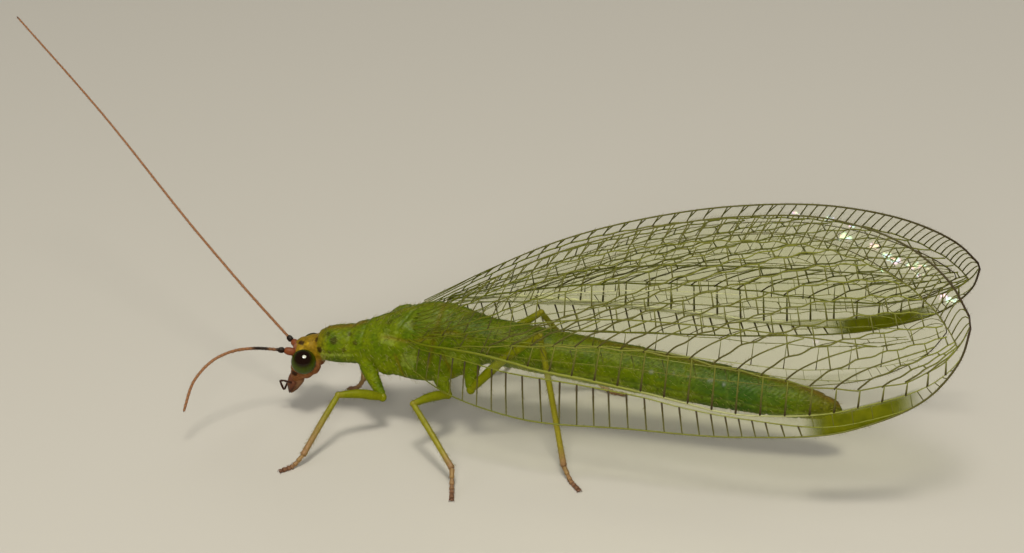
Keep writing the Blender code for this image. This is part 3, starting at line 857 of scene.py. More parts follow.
def mouth():
    """The upper and lower lips, and on both sides a jaw, a long jointed feeler and a short one."""
    kept = Gather("pale", "dark")
    share = np.linspace(0, 1, 8)
    upper_lip = smooth_route(((-6.16, 0, 1.12), (-6.25, 0, 0.86), (-6.32, 0, 0.60)), 8)
    thick = (0.14, 0.15, 0.15, 0.14, 0.12, 0.10, 0.07, 0.03)
    kept.add(tube(upper_lip, thick, 20), dark=np.repeat(step(0.5, 1.0, share), 20))
    lower_lip = smooth_route(((-6.04, 0, 1.08), (-6.13, 0, 0.84), (-6.25, 0, 0.60)), 8)
    thick = (0.16, 0.17, 0.15, 0.13, 0.11, 0.09, 0.06, 0.03)
    kept.add(tube(lower_lip, thick, 18), pale=0.3, dark=np.repeat(0.5 * share, 18))
    for flip in (1, -1):
        side = np.array((1, flip, 1))
        jaw = np.array(((-6.12, -0.17, 1.02), (-6.24, -0.18, 0.80), (-6.31, -0.07, 0.60))) * side
        thick = (0.07, 0.075, 0.07, 0.065, 0.055, 0.045, 0.03, 0.012)
        kept.add(tube(smooth_route(jaw, 8), thick, 12), dark=np.repeat(share, 12))
        small_feelers = ((JAW_FEELERS[flip], 0.031, 0.85, 0.0), (LIP_FEELER, 0.024, 0.45, 0.3))
        for joints, radius, dark, pale in small_feelers:
            for start, end in zip(joints[:-1], joints[1:]):
                start, end = np.array(start) * side, np.array(end) * side
                path = start + (end - start) * np.linspace(-0.04, 1.0, 6)[:, None]
                kept.add(tube(path, radius * JOINT_SHAPE, 10), dark=dark, pale=pale)
    return kept.parts()


piece("mouth_skin", mouth_skin, "mouth_cuticle", *mouth(), replaces=("mouthparts",))


# Feelers

def feeler(route, radius, rings, dark_until, thin):
    """A thick first joint, a dark second one and a long ringed lash, dark as far as dark_until
    apart from one pale stretch, and thinner at its tip by the share thin."""
    kept = Gather("ring", "flesh", "dark")
    scape_ends = np.array(route[:2])
    scape = scape_ends[0] + (scape_ends[1] - scape_ends[0]) * np.linspace(0, 1, 9)[:, None]
    kept.add(tube(scape, (0.08, 0.10, 0.108, 0.112, 0.112, 0.108, 0.10, 0.085, 0.05), 18), flesh=1.0)
    lash = smooth_route(route[1:], rings * 4 + 1)
    first = lash[1] - lash[0]
    first /= np.linalg.norm(first)
    second_joint = lash[0] + first * np.linspace(-0.01, 0.17, 7)[:, None]
    kept.add(tube(second_joint, (0.05, 0.078, 0.084, 0.082, 0.078, 0.070, 0.04), 16), dark=1.0)
    along = np.linspace(0, 1, len(lash))
    swell = np.tile((0.90, 1.0, 1.06, 1.05), rings + 1)[: len(lash)]
    radii = radius * swell * (1 - thin * along)
    radii[-3:] *= (0.85, 0.6, 0.25)
    ring = np.tile((0.8, 0.25, 0.0, 0.1), rings + 1)[: len(lash)]
    pale_stretch = np.interp(along, (0.05, 0.07, 0.11, 0.13), (1, 0.35, 0.35, 1))
    dark = step(dark_until + 0.03, dark_until - 0.03, along) * pale_stretch
    dark = np.clip(dark + 0.75 * step(0.985, 1.0, along), 0, 1)
    kept.add(tube(lash, radii, 10), ring=np.repeat(ring, 10), dark=np.repeat(dark, 10))
    heading = unit_rows(np.gradient(lash, axis=0))
    at = np.tile(np.arange(2, len(lash) - 2, 2), 2)
    out = unit_rows(np.cross(heading[at], chance.normal(0, 1, (len(at), 3))))
    roots = lash[at] + out * radii[at][:, None] * 0.9
    kept.add(hairs(roots, out * 0.7 + heading[at], 0.07, 0.0035), ring=0.6)
    return kept.parts()


FEELER_NEAR = (
    (-6.04, -0.30, 2.00), (-6.33, -0.39, 2.08), (-7.08, -0.80, 2.26), (-7.57, -1.28, 2.34),
    (-7.98, -1.78, 2.24), (-8.34, -2.20, 1.84), (-8.52, -2.70, 1.12),
)
FEELER_FAR = (
    (-6.05, 0.26, 1.89), (-6.32, 0.36, 2.01), (-7.60, 0.70, 3.17), (-9.09, 1.35, 4.39),
    (-12.60, 3.30, 7.15), (-15.75, 5.40, 9.00),
)
for feeler_name, old_node, made in (
    ("feeler_near", "antenna_left", feeler(FEELER_NEAR, 0.043, 34, 0.24, 0.15)),
    ("feeler_far", "antenna_right", feeler(FEELER_FAR, 0.038, 104, 0.0, 0.35)),
):
    piece(feeler_name, feeler_skin, "feeler_cuticle", *made, replaces=(old_node,))


# Legs

# where along the shin it turns pink, then trochanter, knee, ankle and toe
LEGS = {
    "fore_left": (0.1, (-3.45, -0.80, 1.15), (-4.46, -1.66, 1.55), (-5.13, -2.93, 0.30), (-5.56, -3.42, 0.0)),
    "fore_right": (0.1, (-3.45, 0.80, 1.15), (-4.45, 1.25, 2.05), (-4.56, 1.38, 0.46), (-4.98, 1.50, 0.0)),
    "mid_left": (0.7, (-1.60, -0.85, 1.46), (-2.31, -1.90, 1.64), (-0.96, -3.15, 0.50), (-0.79, -3.95, 0.0)),
    "mid_right": (0.7, (-1.60, 0.85, 1.46), (-2.31, 1.95, 1.64), (-0.98, 3.25, 0.50), (-0.82, 4.05, 0.0)),
    "hind_left": (0.8, (-0.95, -0.90, 1.70), (1.00, -1.12, 3.66), (1.85, -2.05, 0.30), (2.37, -2.78, 0.0)),
    "hind_right": (0.8, (-1.15, 0.88, 1.70), (0.59, 1.06, 3.25), (1.82, 2.92, 0.30), (2.62, 2.77, 0.0)),
}
# shares of the foot's length that its five joints take
FOOT_JOINTS = (0.30, 0.19, 0.16, 0.14, 0.21)


def bristle_rows(path, radii, count, length):
    """Bristles spread around a limb, which lean towards its end."""
    heading = unit_rows(np.gradient(path, axis=0))
    at = chance.integers(1, len(path) - 1, count)
    out = unit_rows(np.cross(heading[at], chance.normal(0, 1, (count, 3))))
    roots = path[at] + out * radii[at][:, None] * 0.92
    lengths = chance.uniform(0.6, 1.1, count) * length
    return hairs(roots, out * 0.75 + heading[at] * 0.8, lengths, HAIR_RADIUS)


def leg(pink_from, trochanter, knee, ankle, toe):
    """A thigh, a shin with two spurs and a foot with five joints, two claws and a pad."""
    kept = Gather("tibia", "tarsus", "dark")
    trochanter, knee, ankle, toe = (np.array(point) for point in (trochanter, knee, ankle, toe))
    kept.add(ball(trochanter, (0.12, 0.12, 0.13), 12, 18))
    bow = np.array((0.0, 0.0, 0.05 * np.linalg.norm(knee - trochanter)))
    thigh = smooth_route((trochanter, (trochanter + knee) / 2 + bow, knee), 40)
    share = np.linspace(0, 1, 40)
    thigh_radii = np.interp(share, (0, 0.08, 0.3, 0.6, 0.9, 1), (0.085, 0.11, 0.135, 0.125, 0.095, 0.085))
    kept.add(tube(thigh, thigh_radii, 16), tibia=np.repeat(0.5 * step(0.85, 1, share), 16))
    kept.add(ball(knee, (0.092, 0.092, 0.092), 12, 16), tibia=0.5, dark=0.12)
    shin = smooth_route((knee, (knee + ankle) / 2 + bow * 0.3, ankle), 48)
    share = np.linspace(0, 1, 48)
    shin_radii = np.interp(share, (0, 0.06, 0.3, 0.8, 1), (0.07, 0.078, 0.084, 0.078, 0.086))
    shin_tone = 0.30 + 0.65 * step(0.1, 1.0, share)
    pink = 0.85 * step(pink_from, 1.0, share)
    kept.add(
        tube(shin, shin_radii, 16),
        tibia=np.repeat(shin_tone, 16),
        tarsus=np.repeat(pink, 16),
        dark=np.repeat(0.12 * step(0.95, 1, share), 16),
    )
    foot_end = toe + np.array((0, 0, 0.060))
    foot = smooth_route((ankle, ankle * 0.45 + foot_end * 0.55 + np.array((0, 0, -0.10)), foot_end), 101)
    reach = 0.0
    for number, part in enumerate(FOOT_JOINTS):
        first, last = int(reach * 100), int((reach + part) * 100)
        path = foot[first : last + 1]
        within = np.linspace(0, 1, len(path))
        radii = np.interp(within, (0, 0.15, 0.8, 0.95, 1), (0.038, 0.050, 0.068, 0.064, 0.040))
        tarsus = min(0.7 + 0.1 * number, 1.0)
        kept.add(tube(path, radii, 12), tibia=1.0, tarsus=tarsus, dark=0.45 * (number / 4) ** 2)
        kept.add(bristle_rows(path, radii, 14, 0.07), tibia=1.0, tarsus=1.0, dark=0.3)
        reach += part
    ahead = foot[-1] - foot[-8]
    ahead[2] = 0.0
    ahead /= np.linalg.norm(ahead)
    beside = np.cross(ahead, (0, 0, 1.0))
    for flip in (1, -1):
        claw = smooth_route(
            (
                foot_end + beside * 0.02 * flip,
                foot_end + ahead * 0.07 + beside * 0.05 * flip + np.array((0, 0, 0.02)),
                foot_end + ahead * 0.13 + beside * 0.075 * flip - np.array((0, 0, 0.035)),
            ),
            8,
        )
        kept.add(tube(claw, np.linspace(0.02, 0.004, 8), 8), tarsus=1.0, dark=0.7)
        spur = ankle + (foot[12] - foot[0]) * 0.1 + beside * 0.06 * flip
        direction = foot[14] - foot[0]
        direction = direction / np.linalg.norm(direction)
        spur_line = spur + direction * np.linspace(0, 0.16, 5)[:, None]
        kept.add(tube(spur_line, (0.014, 0.013, 0.011, 0.008, 0.003), 6), tibia=1.0, tarsus=0.8)
    pad = foot_end + ahead * 0.05 - np.array((0, 0, 0.012))
    kept.add(ball(pad, (0.065, 0.055, 0.032), 10, 14), tarsus=1.0, dark=0.55)
    kept.add(bristle_rows(thigh, thigh_radii, 110, 0.11))
    kept.add(bristle_rows(shin, shin_radii, 190, 0.12), tibia=0.8, dark=0.1)
    return kept.parts()


for leg_name, joints in LEGS.items():
    piece(
        f"leg_{leg_name}", leg_skin, "leg_cuticle", *leg(*joints),
        replaces=(f"leg_{leg_name}_thigh", f"leg_{leg_name}_shin"),
    )


# Wings

FORE_COSTA = (
    (-3.00, -0.62, 2.66), (-2.68, -1.14, 2.51), (-1.68, -2.01, 2.29), (0.60, -2.65, 1.95),
    (3.65, -2.84, 2.05), (6.75, -2.99, 2.23), (9.60, -2.93, 2.76), (11.60, -2.49, 3.90),
    (12.14, -2.10, 4.72), (12.28, -1.80, 5.36),
)
FORE_HIND_EDGE = (
    (-2.54, -0.42, 3.60), (-1.92, -0.57, 3.93), (-0.95, -0.50, 4.55), (1.50, -0.42, 5.88),
    (3.80, -0.38, 6.72), (6.10, -0.36, 7.26), (8.70, -0.44, 7.42), (10.70, -0.82, 6.93),
    (11.72, -1.26, 6.26), (12.22, -1.64, 5.62),
)
# The hindwing lies close inside the forewing: its edges as shares along and across the forewing.
HIND_FRONT = (
    (0.06, 0.50), (0.14, 0.43), (0.25, 0.37), (0.40, 0.31), (0.55, 0.26), (0.70, 0.23), (0.82, 0.25),
    (0.89, 0.33), (0.922, 0.44),
)
HIND_BACK = (
    (0.06, 0.64), (0.14, 0.75), (0.25, 0.84), (0.40, 0.90), (0.55, 0.92), (0.70, 0.90), (0.82, 0.80),
    (0.89, 0.66), (0.920, 0.52),
)

# Every vein is a row of (share along the wing, share across it from the front edge). Other entries:
#   bow          how far in mm the wing bulges outward
#   margin       where veins from the outer line end: share along that line, then along and across
#   steep, flat  slopes of the branches where they leave the sector and after they have bent
#   cell         share along the wing between two crossings of the net
#   radial_gap   share along the wing between two crossings from the radius to the sector
#   spot         start, end and depth of the green spot at the front edge
FORE_PLAN = {
    "edges": (FORE_COSTA, FORE_HIND_EDGE),
    "bow": 0.24,
    "subcosta": (
        (0, 0.25), (0.05, 0.29), (0.11, 0.31), (0.165, 0.295), (0.22, 0.268), (0.28, 0.250), (0.338, 0.222),
        (0.39, 0.190), (0.45, 0.158), (0.50, 0.127), (0.55, 0.103), (0.60, 0.082), (0.65, 0.06),
        (0.72, 0.036), (0.80, 0.02), (0.86, 0.0),
    ),
    "radius": (
        (0, 0.32), (0.05, 0.36), (0.11, 0.378), (0.165, 0.372), (0.212, 0.345), (0.275, 0.298),
        (0.345, 0.252), (0.40, 0.212), (0.478, 0.165), (0.515, 0.143), (0.562, 0.114), (0.60, 0.10),
        (0.65, 0.095), (0.72, 0.096), (0.80, 0.100), (0.88, 0.08), (0.95, 0.02), (0.965, 0.0),
    ),
    "sector": (
        (0.113, 0.376), (0.16, 0.43), (0.26, 0.44), (0.345, 0.42), (0.40, 0.40), (0.50, 0.36),
        (0.54, 0.335), (0.60, 0.295), (0.65, 0.26), (0.70, 0.225), (0.75, 0.197), (0.80, 0.178),
        (0.85, 0.168), (0.92, 0.172), (0.99, 0.21),
    ),
    "inner": (
        (0, 0.44), (0.06, 0.47), (0.13, 0.53), (0.22, 0.575), (0.30, 0.575), (0.40, 0.55), (0.50, 0.515),
        (0.58, 0.49), (0.66, 0.46), (0.74, 0.43), (0.80, 0.395), (0.90, 0.34),
    ),
    "outer": (
        (0, 0.62), (0.06, 0.73), (0.12, 0.83), (0.18, 0.89), (0.25, 0.918), (0.40, 0.912), (0.50, 0.90),
        (0.60, 0.885), (0.70, 0.862), (0.78, 0.825), (0.84, 0.77), (0.885, 0.68), (0.92, 0.52),
        (0.94, 0.32), (0.948, 0.182),
    ),
    "long": (
        (
            (0.0, 0.56), (0.06, 0.63), (0.13, 0.72), (0.20, 0.80), (0.27, 0.845), (0.39, 0.85),
            (0.47, 0.865), (0.54, 0.885),
        ),
        (
            (0.03, 0.52), (0.09, 0.58), (0.17, 0.665), (0.25, 0.73), (0.33, 0.755), (0.42, 0.78),
            (0.50, 0.82), (0.58, 0.875),
        ),
    ),
    "margin": (
        (0.06, 0.07, 1.0), (0.13, 0.14, 1.0), (0.28, 0.292, 1.0), (0.50, 0.514, 1.0), (0.70, 0.722, 1.0),
        (0.80, 0.83, 1.0), (0.86, 0.90, 1.0), (0.90, 0.945, 1.0), (0.925, 0.985, 1.0), (0.937, 1.0, 0.75),
        (0.944, 1.0, 0.35), (0.95, 1.0, 0.1),
    ),
    "front_crossings": (
        0.055, 0.08, 0.105, 0.13, 0.153, 0.177, 0.201, 0.225, 0.253, 0.282, 0.315, 0.342, 0.368, 0.392,
        0.42, 0.448, 0.475, 0.502, 0.528, 0.55, 0.572, 0.592, 0.612, 0.632, 0.655, 0.68,
    ),
    "steep": ((0.15, 0.30, 0.70, 0.82, 0.92), (2.6, 3.4, 3.4, 1.6, 0.3)),
    "flat": ((0.15, 0.50, 0.70, 0.80, 0.88, 0.94, 1.0), (0.75, 0.75, 0.60, 0.45, 0.20, 0.0, -0.5)),
    "cell": 0.044,
    "radial_gap": 0.0365,
    "anal": (
        ((0.0, 0.74), (0.05, 0.84), (0.10, 0.92), (0.15, 1.0)),
        ((0.0, 0.86), (0.03, 0.91), (0.06, 0.95), (0.09, 1.0)),
    ),
    "spot": (0.70, 0.862, 0.112),
    "spot_strength": 0.97,
    "band_strength": 0.2,
}


# the shares along a wing at which its frame is kept
WING_SHARES = np.linspace(0, 1, 601)


def wing_frame(plan):
    """Points of the front edge, the hind edge and the bowing at even shares along the wing."""
    front, back = (smooth_route(edge, len(WING_SHARES)) for edge in plan["edges"])
    out = unit_rows(np.cross(np.gradient((front + back) / 2, axis=0), back - front))
    chord = np.linalg.norm(back - front, axis=1)
    return front, back, out * (plan["bow"] * np.minimum(1, chord / chord.max()))[:, None]


def on_wing(plan, along, across):
    """Points of the bowed wing at shares along it and across it."""
    along, across = np.asarray(along, float), np.asarray(across, float)
    if "frame" not in plan:
        plan["frame"] = wing_frame(plan)
    front, back, bow = (blended(along, WING_SHARES, line) for line in plan["frame"])
    t = across[..., None]
    return front + (back - front) * t + bow * 4 * t * (1 - t)


def inside_forewing(shares, root, gap=0.28):
    """Points a little inside the forewing, after the root on the thorax."""
    along, across = np.array(shares).T
    points = on_wing(FORE_PLAN, along, across)
    inward = unit_rows(-blended(along, WING_SHARES, FORE_PLAN["frame"][2]))
    points = points + inward * (gap * step(0.0, 0.2, along))[:, None]
    return [root] + [tuple(point) for point in points]


HIND_PLAN = {
    "edges": (
        inside_forewing(HIND_FRONT, (-1.62, -0.52, 3.02)),
        inside_forewing(HIND_BACK, (-1.50, -0.36, 3.28)),
    ),
    "bow": 0.10,
    "subcosta": (
        (0, 0.22), (0.10, 0.20), (0.25, 0.15), (0.45, 0.11), (0.60, 0.08), (0.72, 0.05), (0.84, 0.0),
    ),
    "radius": (
        (0, 0.32), (0.10, 0.28), (0.25, 0.21), (0.45, 0.165), (0.60, 0.13), (0.72, 0.11), (0.84, 0.10),
        (0.93, 0.04), (0.96, 0.0),
    ),
    "sector": (
        (0.08, 0.29), (0.16, 0.36), (0.30, 0.34), (0.45, 0.31), (0.60, 0.28), (0.75, 0.27), (0.88, 0.28),
        (0.995, 0.32),
    ),
    "inner": (
        (0, 0.44), (0.12, 0.54), (0.25, 0.57), (0.40, 0.55), (0.55, 0.52), (0.70, 0.48), (0.88, 0.42),
    ),
    "outer": (
        (0, 0.58), (0.12, 0.74), (0.25, 0.84), (0.40, 0.88), (0.55, 0.88), (0.70, 0.85), (0.80, 0.79),
        (0.87, 0.66), (0.91, 0.46), (0.922, 0.295),
    ),
    "long": (((0.0, 0.52), (0.12, 0.65), (0.25, 0.74), (0.40, 0.80), (0.52, 0.87)),),
    "margin": (
        (0.06, 0.07, 1.0), (0.25, 0.265, 1.0), (0.55, 0.565, 1.0), (0.70, 0.72, 1.0), (0.80, 0.84, 1.0),
        (0.87, 0.94, 1.0), (0.905, 0.985, 1.0), (0.925, 1.0, 0.6), (0.94, 1.0, 0.1),
    ),
    "front_crossings": tuple(np.arange(0.10, 0.70, 0.055)),
    "steep": ((0.15, 0.50, 0.75, 0.90), (2.4, 3.0, 1.8, 0.3)),
    "flat": ((0.15, 0.50, 0.70, 0.80, 0.88, 1.0), (0.8, 0.8, 0.6, 0.4, 0.1, -0.5)),
    "cell": 0.062,
    "radial_gap": 0.056,
    "anal": (((0.0, 0.72), (0.06, 0.82), (0.12, 0.91), (0.18, 1.0)),),
    "spot": (0.70, 0.84, 0.085),
    "spot_strength": 0.10,
    "band_strength": 0.0,
}
# rows along and across the membrane's sheets
WING_GRID = (300, 64)
# painted highlights on the forewings, which glow: shares along and across them, and the radius in mm
NEAR_GLINTS = (
    (0.458, 0.285, 0.035), (0.495, 0.28, 0.04), (0.515, 0.27, 0.03), (0.548, 0.255, 0.035),
    (0.568, 0.24, 0.04), (0.648, 0.18, 0.035), (0.68, 0.15, 0.03), (0.705, 0.43, 0.05),
)
FAR_GLINTS = (
    (0.708, 0.875, 0.12), (0.745, 0.83, 0.10), (0.732, 0.73, 0.18), (0.778, 0.66, 0.16),
    (0.795, 0.585, 0.13), (0.808, 0.535, 0.19), (0.835, 0.48, 0.15), (0.852, 0.485, 0.15),
    (0.782, 0.455, 0.11), (0.895, 0.07, 0.14), (0.882, 0.145, 0.11), (0.66, 0.92, 0.09),
    (0.845, 0.40, 0.09),
)


def membrane(plan, glints, thick=0.012):
    """The clear skin as a thin closed sheet, with the strength of its paints."""
    rows, columns = WING_GRID
    along, across = np.meshgrid(np.linspace(0.0, 1.0, rows), np.linspace(0.0, 1.0, columns), indexing="ij")
    points = on_wing(plan, along, across)
    facing = np.cross(np.gradient(points, axis=0), np.gradient(points, axis=1))
    facing /= np.linalg.norm(facing, axis=2)[..., None] + 1e-12
    # low waves, 0.008 mm high, so that the sheet doesn't shine like a flat pane
    ripple = 0.008 * np.sin(along * 210) * np.sin(across * 24 + along * 30)
    outer = points + facing * (thick / 2 + ripple)[..., None]
    inner = points + facing * (ripple - thick / 2)[..., None]
    index = np.arange(rows * columns).reshape(rows, columns)
    quads = np.stack((index[:-1, :-1], index[1:, :-1], index[1:, 1:], index[:-1, 1:]), -1).reshape(-1, 4)
    count = rows * columns
    rim = np.concatenate([index[:, 0], index[-1, 1:], index[-2::-1, -1], index[0, -2:0:-1]])
    beside = np.roll(rim, -1)
    edge = np.stack((rim, rim + count, beside + count, beside), -1)
    faces = quads.tolist() + (quads[:, ::-1] + count).tolist() + edge.tolist()
    low, high, deep = plan["spot"]
    spot = step(low - 0.02, low + 0.03, along) * step(high + 0.015, high - 0.05, along)
    spot = spot * step(deep, deep * 0.75, across)
    low, high = (np.interp(along, *np.array(plan[name]).T) for name in ("subcosta", "radius"))
    band = step(low - 0.012, low + 0.006, across) * step(high + 0.012, high - 0.006, across)
    band *= step(0.74, 0.66, along) * step(0.14, 0.36, along)
    flat = points.reshape(-1, 3)
    glint = np.zeros(count)
    for place_along, place_across, radius in glints:
        middle = on_wing(plan, place_along, place_across)
        # The small ones are drawn out along the body and fainter.
        long = 2.0 if radius < 0.06 else 1.0
        bright = blot(flat, middle, (radius * long, radius, radius * 0.7 / long), 0.5)
        glint = np.maximum(glint, bright * min(1.0, (radius / 0.08) ** 2.2))
    return (
        np.concatenate([outer.reshape(-1, 3), inner.reshape(-1, 3)]),
        faces,
        {
            "spot": np.tile(plan["spot_strength"] * spot.reshape(-1), 2),
            "band": np.tile(plan["band_strength"] * band.reshape(-1), 2),
            "glint": np.tile(0.75 * glint, 2),
        },
    )


# spacing in mm of the points along a vein, and of the veins that run out to the margin
VEIN_GRAIN = 0.10
MARGIN_GAP = 0.28
# shares of the wing's width: how far crossings pull a long vein aside, and within what
# depth the sector's branches bend towards the tip
SWAY = 0.006
BENDING = 0.055
# length in mm of a wing's edge
EDGE_LENGTH = 16.5


def veins(plan, scale):
    """All veins of a wing: shares along and across, radii in mm, and the strength of their tones."""
    found = []
    names = ("subcosta", "radius", "sector", "inner", "outer", "margin")
    lines = {name: np.array(plan[name]) for name in names}

    def at(name, along):
        return np.interp(along, lines[name][:, 0], lines[name][:, 1])

    def vein(points, start, end, dark=(0.0, 0.0), pale=((0, 1), (0, 0)), curved=True):
        """One vein; dark is its tone at both ends, pale its tone over the shares along the wing."""
        points = np.array(points, float)
        length = np.linalg.norm(np.diff(on_wing(plan, points[:, 0], points[:, 1]), axis=0), axis=1).sum()
        count = max(4, int(length / VEIN_GRAIN))
        if curved and len(points) > 2:
            path = smooth_route(points, count)
        else:
            reach = reach_along(points)
            path = blended(np.linspace(0, reach[-1], count), reach, points)
        path = np.clip(path, 0.0, 1.0)
        slim = np.interp(path[:, 0], (0.0, 0.10, 0.30), (0.6, 0.75, 1.0))
        root = np.interp(path[:, 0], (0.10, 0.32), (1.0, 0.0)) * (dark[0] < 0.5)
        found.append(
            (
                path,
                np.linspace(start, end, count) * scale * slim,
                {"dark": np.linspace(*dark, count), "pale": np.interp(path[:, 0], *pale), "root": root},
            )
        )

    def branch(along):
        """A route from the sector outwards, which starts steep and bends towards the tip."""
        route = [(along, float(at("sector", along)))]
        while route[-1][1] < at("outer", route[-1][0]) and route[-1][0] < lines["outer"][-1, 0]:
            here, across = route[-1]
            bent = 1 - math.exp((route[0][1] - across) / BENDING)
            slope = np.interp(here, *plan["steep"]) * (1 - bent) + np.interp(here, *plan["flat"]) * bent
            forward = 0.004 / max(1.0, slope)
            route.append((here + forward, across + forward * slope))
        return np.array(route)

    def kinked(route, number):
        """The route drawn up and down a little by the crossings that meet it from both sides."""
        sway = SWAY * np.cos(2 * math.pi * (route[:, 0] / plan["cell"] - 0.5 * ((number - 1) % 2)))
        sway *= step(0.0, 0.03, route[:, 0] - route[0, 0])
        return np.stack((route[:, 0], route[:, 1] + sway), -1)

    # front edge, hind edge and tip, and the strong veins near the front edge
    for across, start, end, sizes, dark in (
        (0.0, 0.0, 0.72, (0.022, 0.022), (0.1, 0.3)),
        (0.0, 0.72, 1.0, (0.022, 0.030), (0.3, 1.0)),
        (1.0, 0.0, 0.60, (0.020, 0.020), (0.3, 0.6)),
        (1.0, 0.60, 1.0, (0.020, 0.030), (0.6, 1.0)),
    ):
        rim = np.linspace(start, end, 40)
        vein(np.stack((rim, 0 * rim + across), -1), *sizes, dark=dark)
    vein(((1.0, 0.0), (1.0, 0.5), (1.0, 1.0)), 0.028, 0.026, dark=(1.0, 1.0))
    vein(plan["subcosta"], 0.022, 0.016, pale=((0.08, 0.22, 0.50, 0.65), (0.0, 0.5, 0.5, 0.0)))
    vein(plan["radius"], 0.050, 0.011, pale=((0.08, 0.18, 0.60, 0.72), (0.0, 1.0, 0.9, 0.1)))
    for line in plan["anal"]:
        vein(line, 0.022, 0.018, dark=(0.1, 0.4))
    long_routes = []
    for line in (plan["outer"],) + plan["long"]:
        long_routes.append(kinked(smooth_route(line, 240), len(long_routes)))
        vein(long_routes[-1][::2], 0.022, 0.018, dark=(0.1, 0.5 if len(long_routes) == 1 else 0.3))
    vein(lines["inner"][lines["inner"][:, 0] < 0.82], 0.023, 0.019, dark=(0.1, 0.4))

    # the sector zigzags between its crossings
    radial_gap = plan["radial_gap"]
    stops = np.arange(lines["sector"][0, 0], lines["sector"][-1, 0], radial_gap)
    sway = np.where(np.arange(len(stops)) % 2, SWAY, -SWAY) * (stops > stops[0] + 0.03)
    zigzag = np.concatenate([np.stack((stops, at("sector", stops) + sway), -1), lines["sector"][-1:]])
    vein(zigzag, 0.024, 0.018, dark=(0.1, 0.3), curved=False)
    for along in stops[2:-2]:
        if along < 0.93:
            ends = ((along, at("radius", along)), (along + 0.004, at("sector", along + 0.004)))
            vein(ends, 0.030, 0.017, dark=(1.0, 0.15))

    # crossings from the front edge to the subcosta, dark at their inner ends
    for along in plan["front_crossings"]:
        tilt = 0.012 if along < 0.3 else 0.006
        vein(((along, at("subcosta", along)), (along + tilt, 0.0)), 0.028, 0.018, dark=(1.0, 0.5))
    for along in np.arange(plan["spot"][1], 0.955, 0.016):
        vein(((along, at("radius", along)), (along + 0.010, 0.0)), 0.014, 0.013, dark=(0.6, 0.8))
    for along in np.arange(plan["spot"][0], plan["spot"][1], 0.03):
        ends = ((along, at("radius", along)), (along + 0.003, at("subcosta", along)))
        vein(ends, 0.013, 0.012, dark=(0.5, 0.5))

    # branches of the sector; every other one ends on the inner line
    for number, along in enumerate(stops[2:]):
        route = branch(along)
        if len(route) < 8 or along > 0.88:
            continue
        if number % 2 and along < 0.80:
            route = route[: int(np.argmax(route[:, 1] > at("inner", route[:, 0]))) + 1]
            vein(route[::3], 0.024, 0.018, dark=(0.9, 0.2))
            continue
        long_routes.append(kinked(route, len(long_routes)))
        vein(long_routes[-1][::3], 0.024, 0.018, dark=(0.8, 0.0))

    # short dark crossings between neighbouring long veins, like rows of bricks
    for number, (upper, lower) in enumerate(zip(long_routes[:-1], long_routes[1:])):
        start = max(upper[0, 0], lower[0, 0]) + 0.02
        end = min(upper[-1, 0], lower[-1, 0])
        size = plan["cell"]
        lean = 0.006 if number < 2 else -0.005
        for along in np.arange(0.5 * size * (number % 2), end, size):
            along += chance.uniform(-0.12, 0.12) * size
            if along < start:
                continue
            a = np.interp(along, lower[:, 0], lower[:, 1])
            b = np.interp(along + lean, upper[:, 0], upper[:, 1])
            if 0.025 < b - a < 0.22:
                vein(((along, a), (along + lean, b)), 0.021, 0.017, dark=(0.75, 0.25))

    # crossings between the stems near the root
    for along in np.arange(0.05, 0.20, 0.042):
        upper = np.interp(along, long_routes[1][:, 0], long_routes[1][:, 1])
        for ends in (
            ((along, at("radius", along)), (along + 0.008, at("inner", along + 0.008))),
            ((along, at("inner", along)), (along + 0.006, upper)),
        ):
            vein(ends, 0.019, 0.017, dark=(0.9, 0.7))

    # veins from the outer line to the margin, forked near the root and close-set towards the tip
    outer = long_routes[0]
    steps = np.linalg.norm(np.diff(on_wing(plan, outer[:, 0], outer[:, 1]), axis=0), axis=1)
    close_set = np.interp(outer[1:, 0], (0.55, 0.68, 0.80, 0.93), (0.6, 1.1, 1.2, 1.6))
    reach = np.concatenate([[0], np.cumsum(steps * close_set)])
    margin = lines["margin"]
    for where in np.arange(1.0, reach[-1], MARGIN_GAP):
        here = blended(where, reach, outer)
        tip = blended(here[0], margin[:, 0], margin[:, 1:])
        vein((here, tip), 0.019, 0.016, dark=(0.65, 0.45))
        if here[0] < 0.62:
            fork = here * 0.6 + tip * 0.4
            vein((fork, tip + (0.007, 0.0)), 0.016, 0.014, dark=(0.6, 0.5))
    return found


def vein_net(plan, scale):
    """The veins as tubes, and the hairs on them and along the edges."""
    kept = Gather("dark", "pale", "root")
    fringe = Gather("dark")
    for path, radii, tones in veins(plan, scale):
        points = on_wing(plan, path[:, 0], path[:, 1])
        keep = np.concatenate([[True], np.linalg.norm(np.diff(points, axis=0), axis=1) > 1e-4])
        if keep.sum() < 3:
            continue  # too short to be seen
        points, radii = points[keep], radii[keep]
        kept.add(tube(points, radii, 6), **{name: np.repeat(tone[keep], 6) for name, tone in tones.items()})
        if len(points) > 6:
            count = max(2, int(len(points) * 0.6))
            fringe.add(bristle_rows(points, radii, count, 0.10), dark=0.7)
    for edge, length, spacing in ((0.0, 0.09, 0.08), (1.0, 0.15, 0.055)):
        along = np.linspace(0.10, 0.998, int(EDGE_LENGTH / spacing))
        roots = on_wing(plan, along, np.full(len(along), edge))
        away = unit_rows(roots - on_wing(plan, along, np.full(len(along), abs(edge - 0.05))))
        ahead = unit_rows(np.gradient(roots, axis=0))
        size = chance.uniform(0.75, 1.15, len(along)) * length
        lean = away + 0.6 * ahead + chance.normal(0, 0.1, roots.shape)
        fringe.add(hairs(roots, lean, size, 0.004), dark=0.7)
    return kept.parts(), fringe.parts()


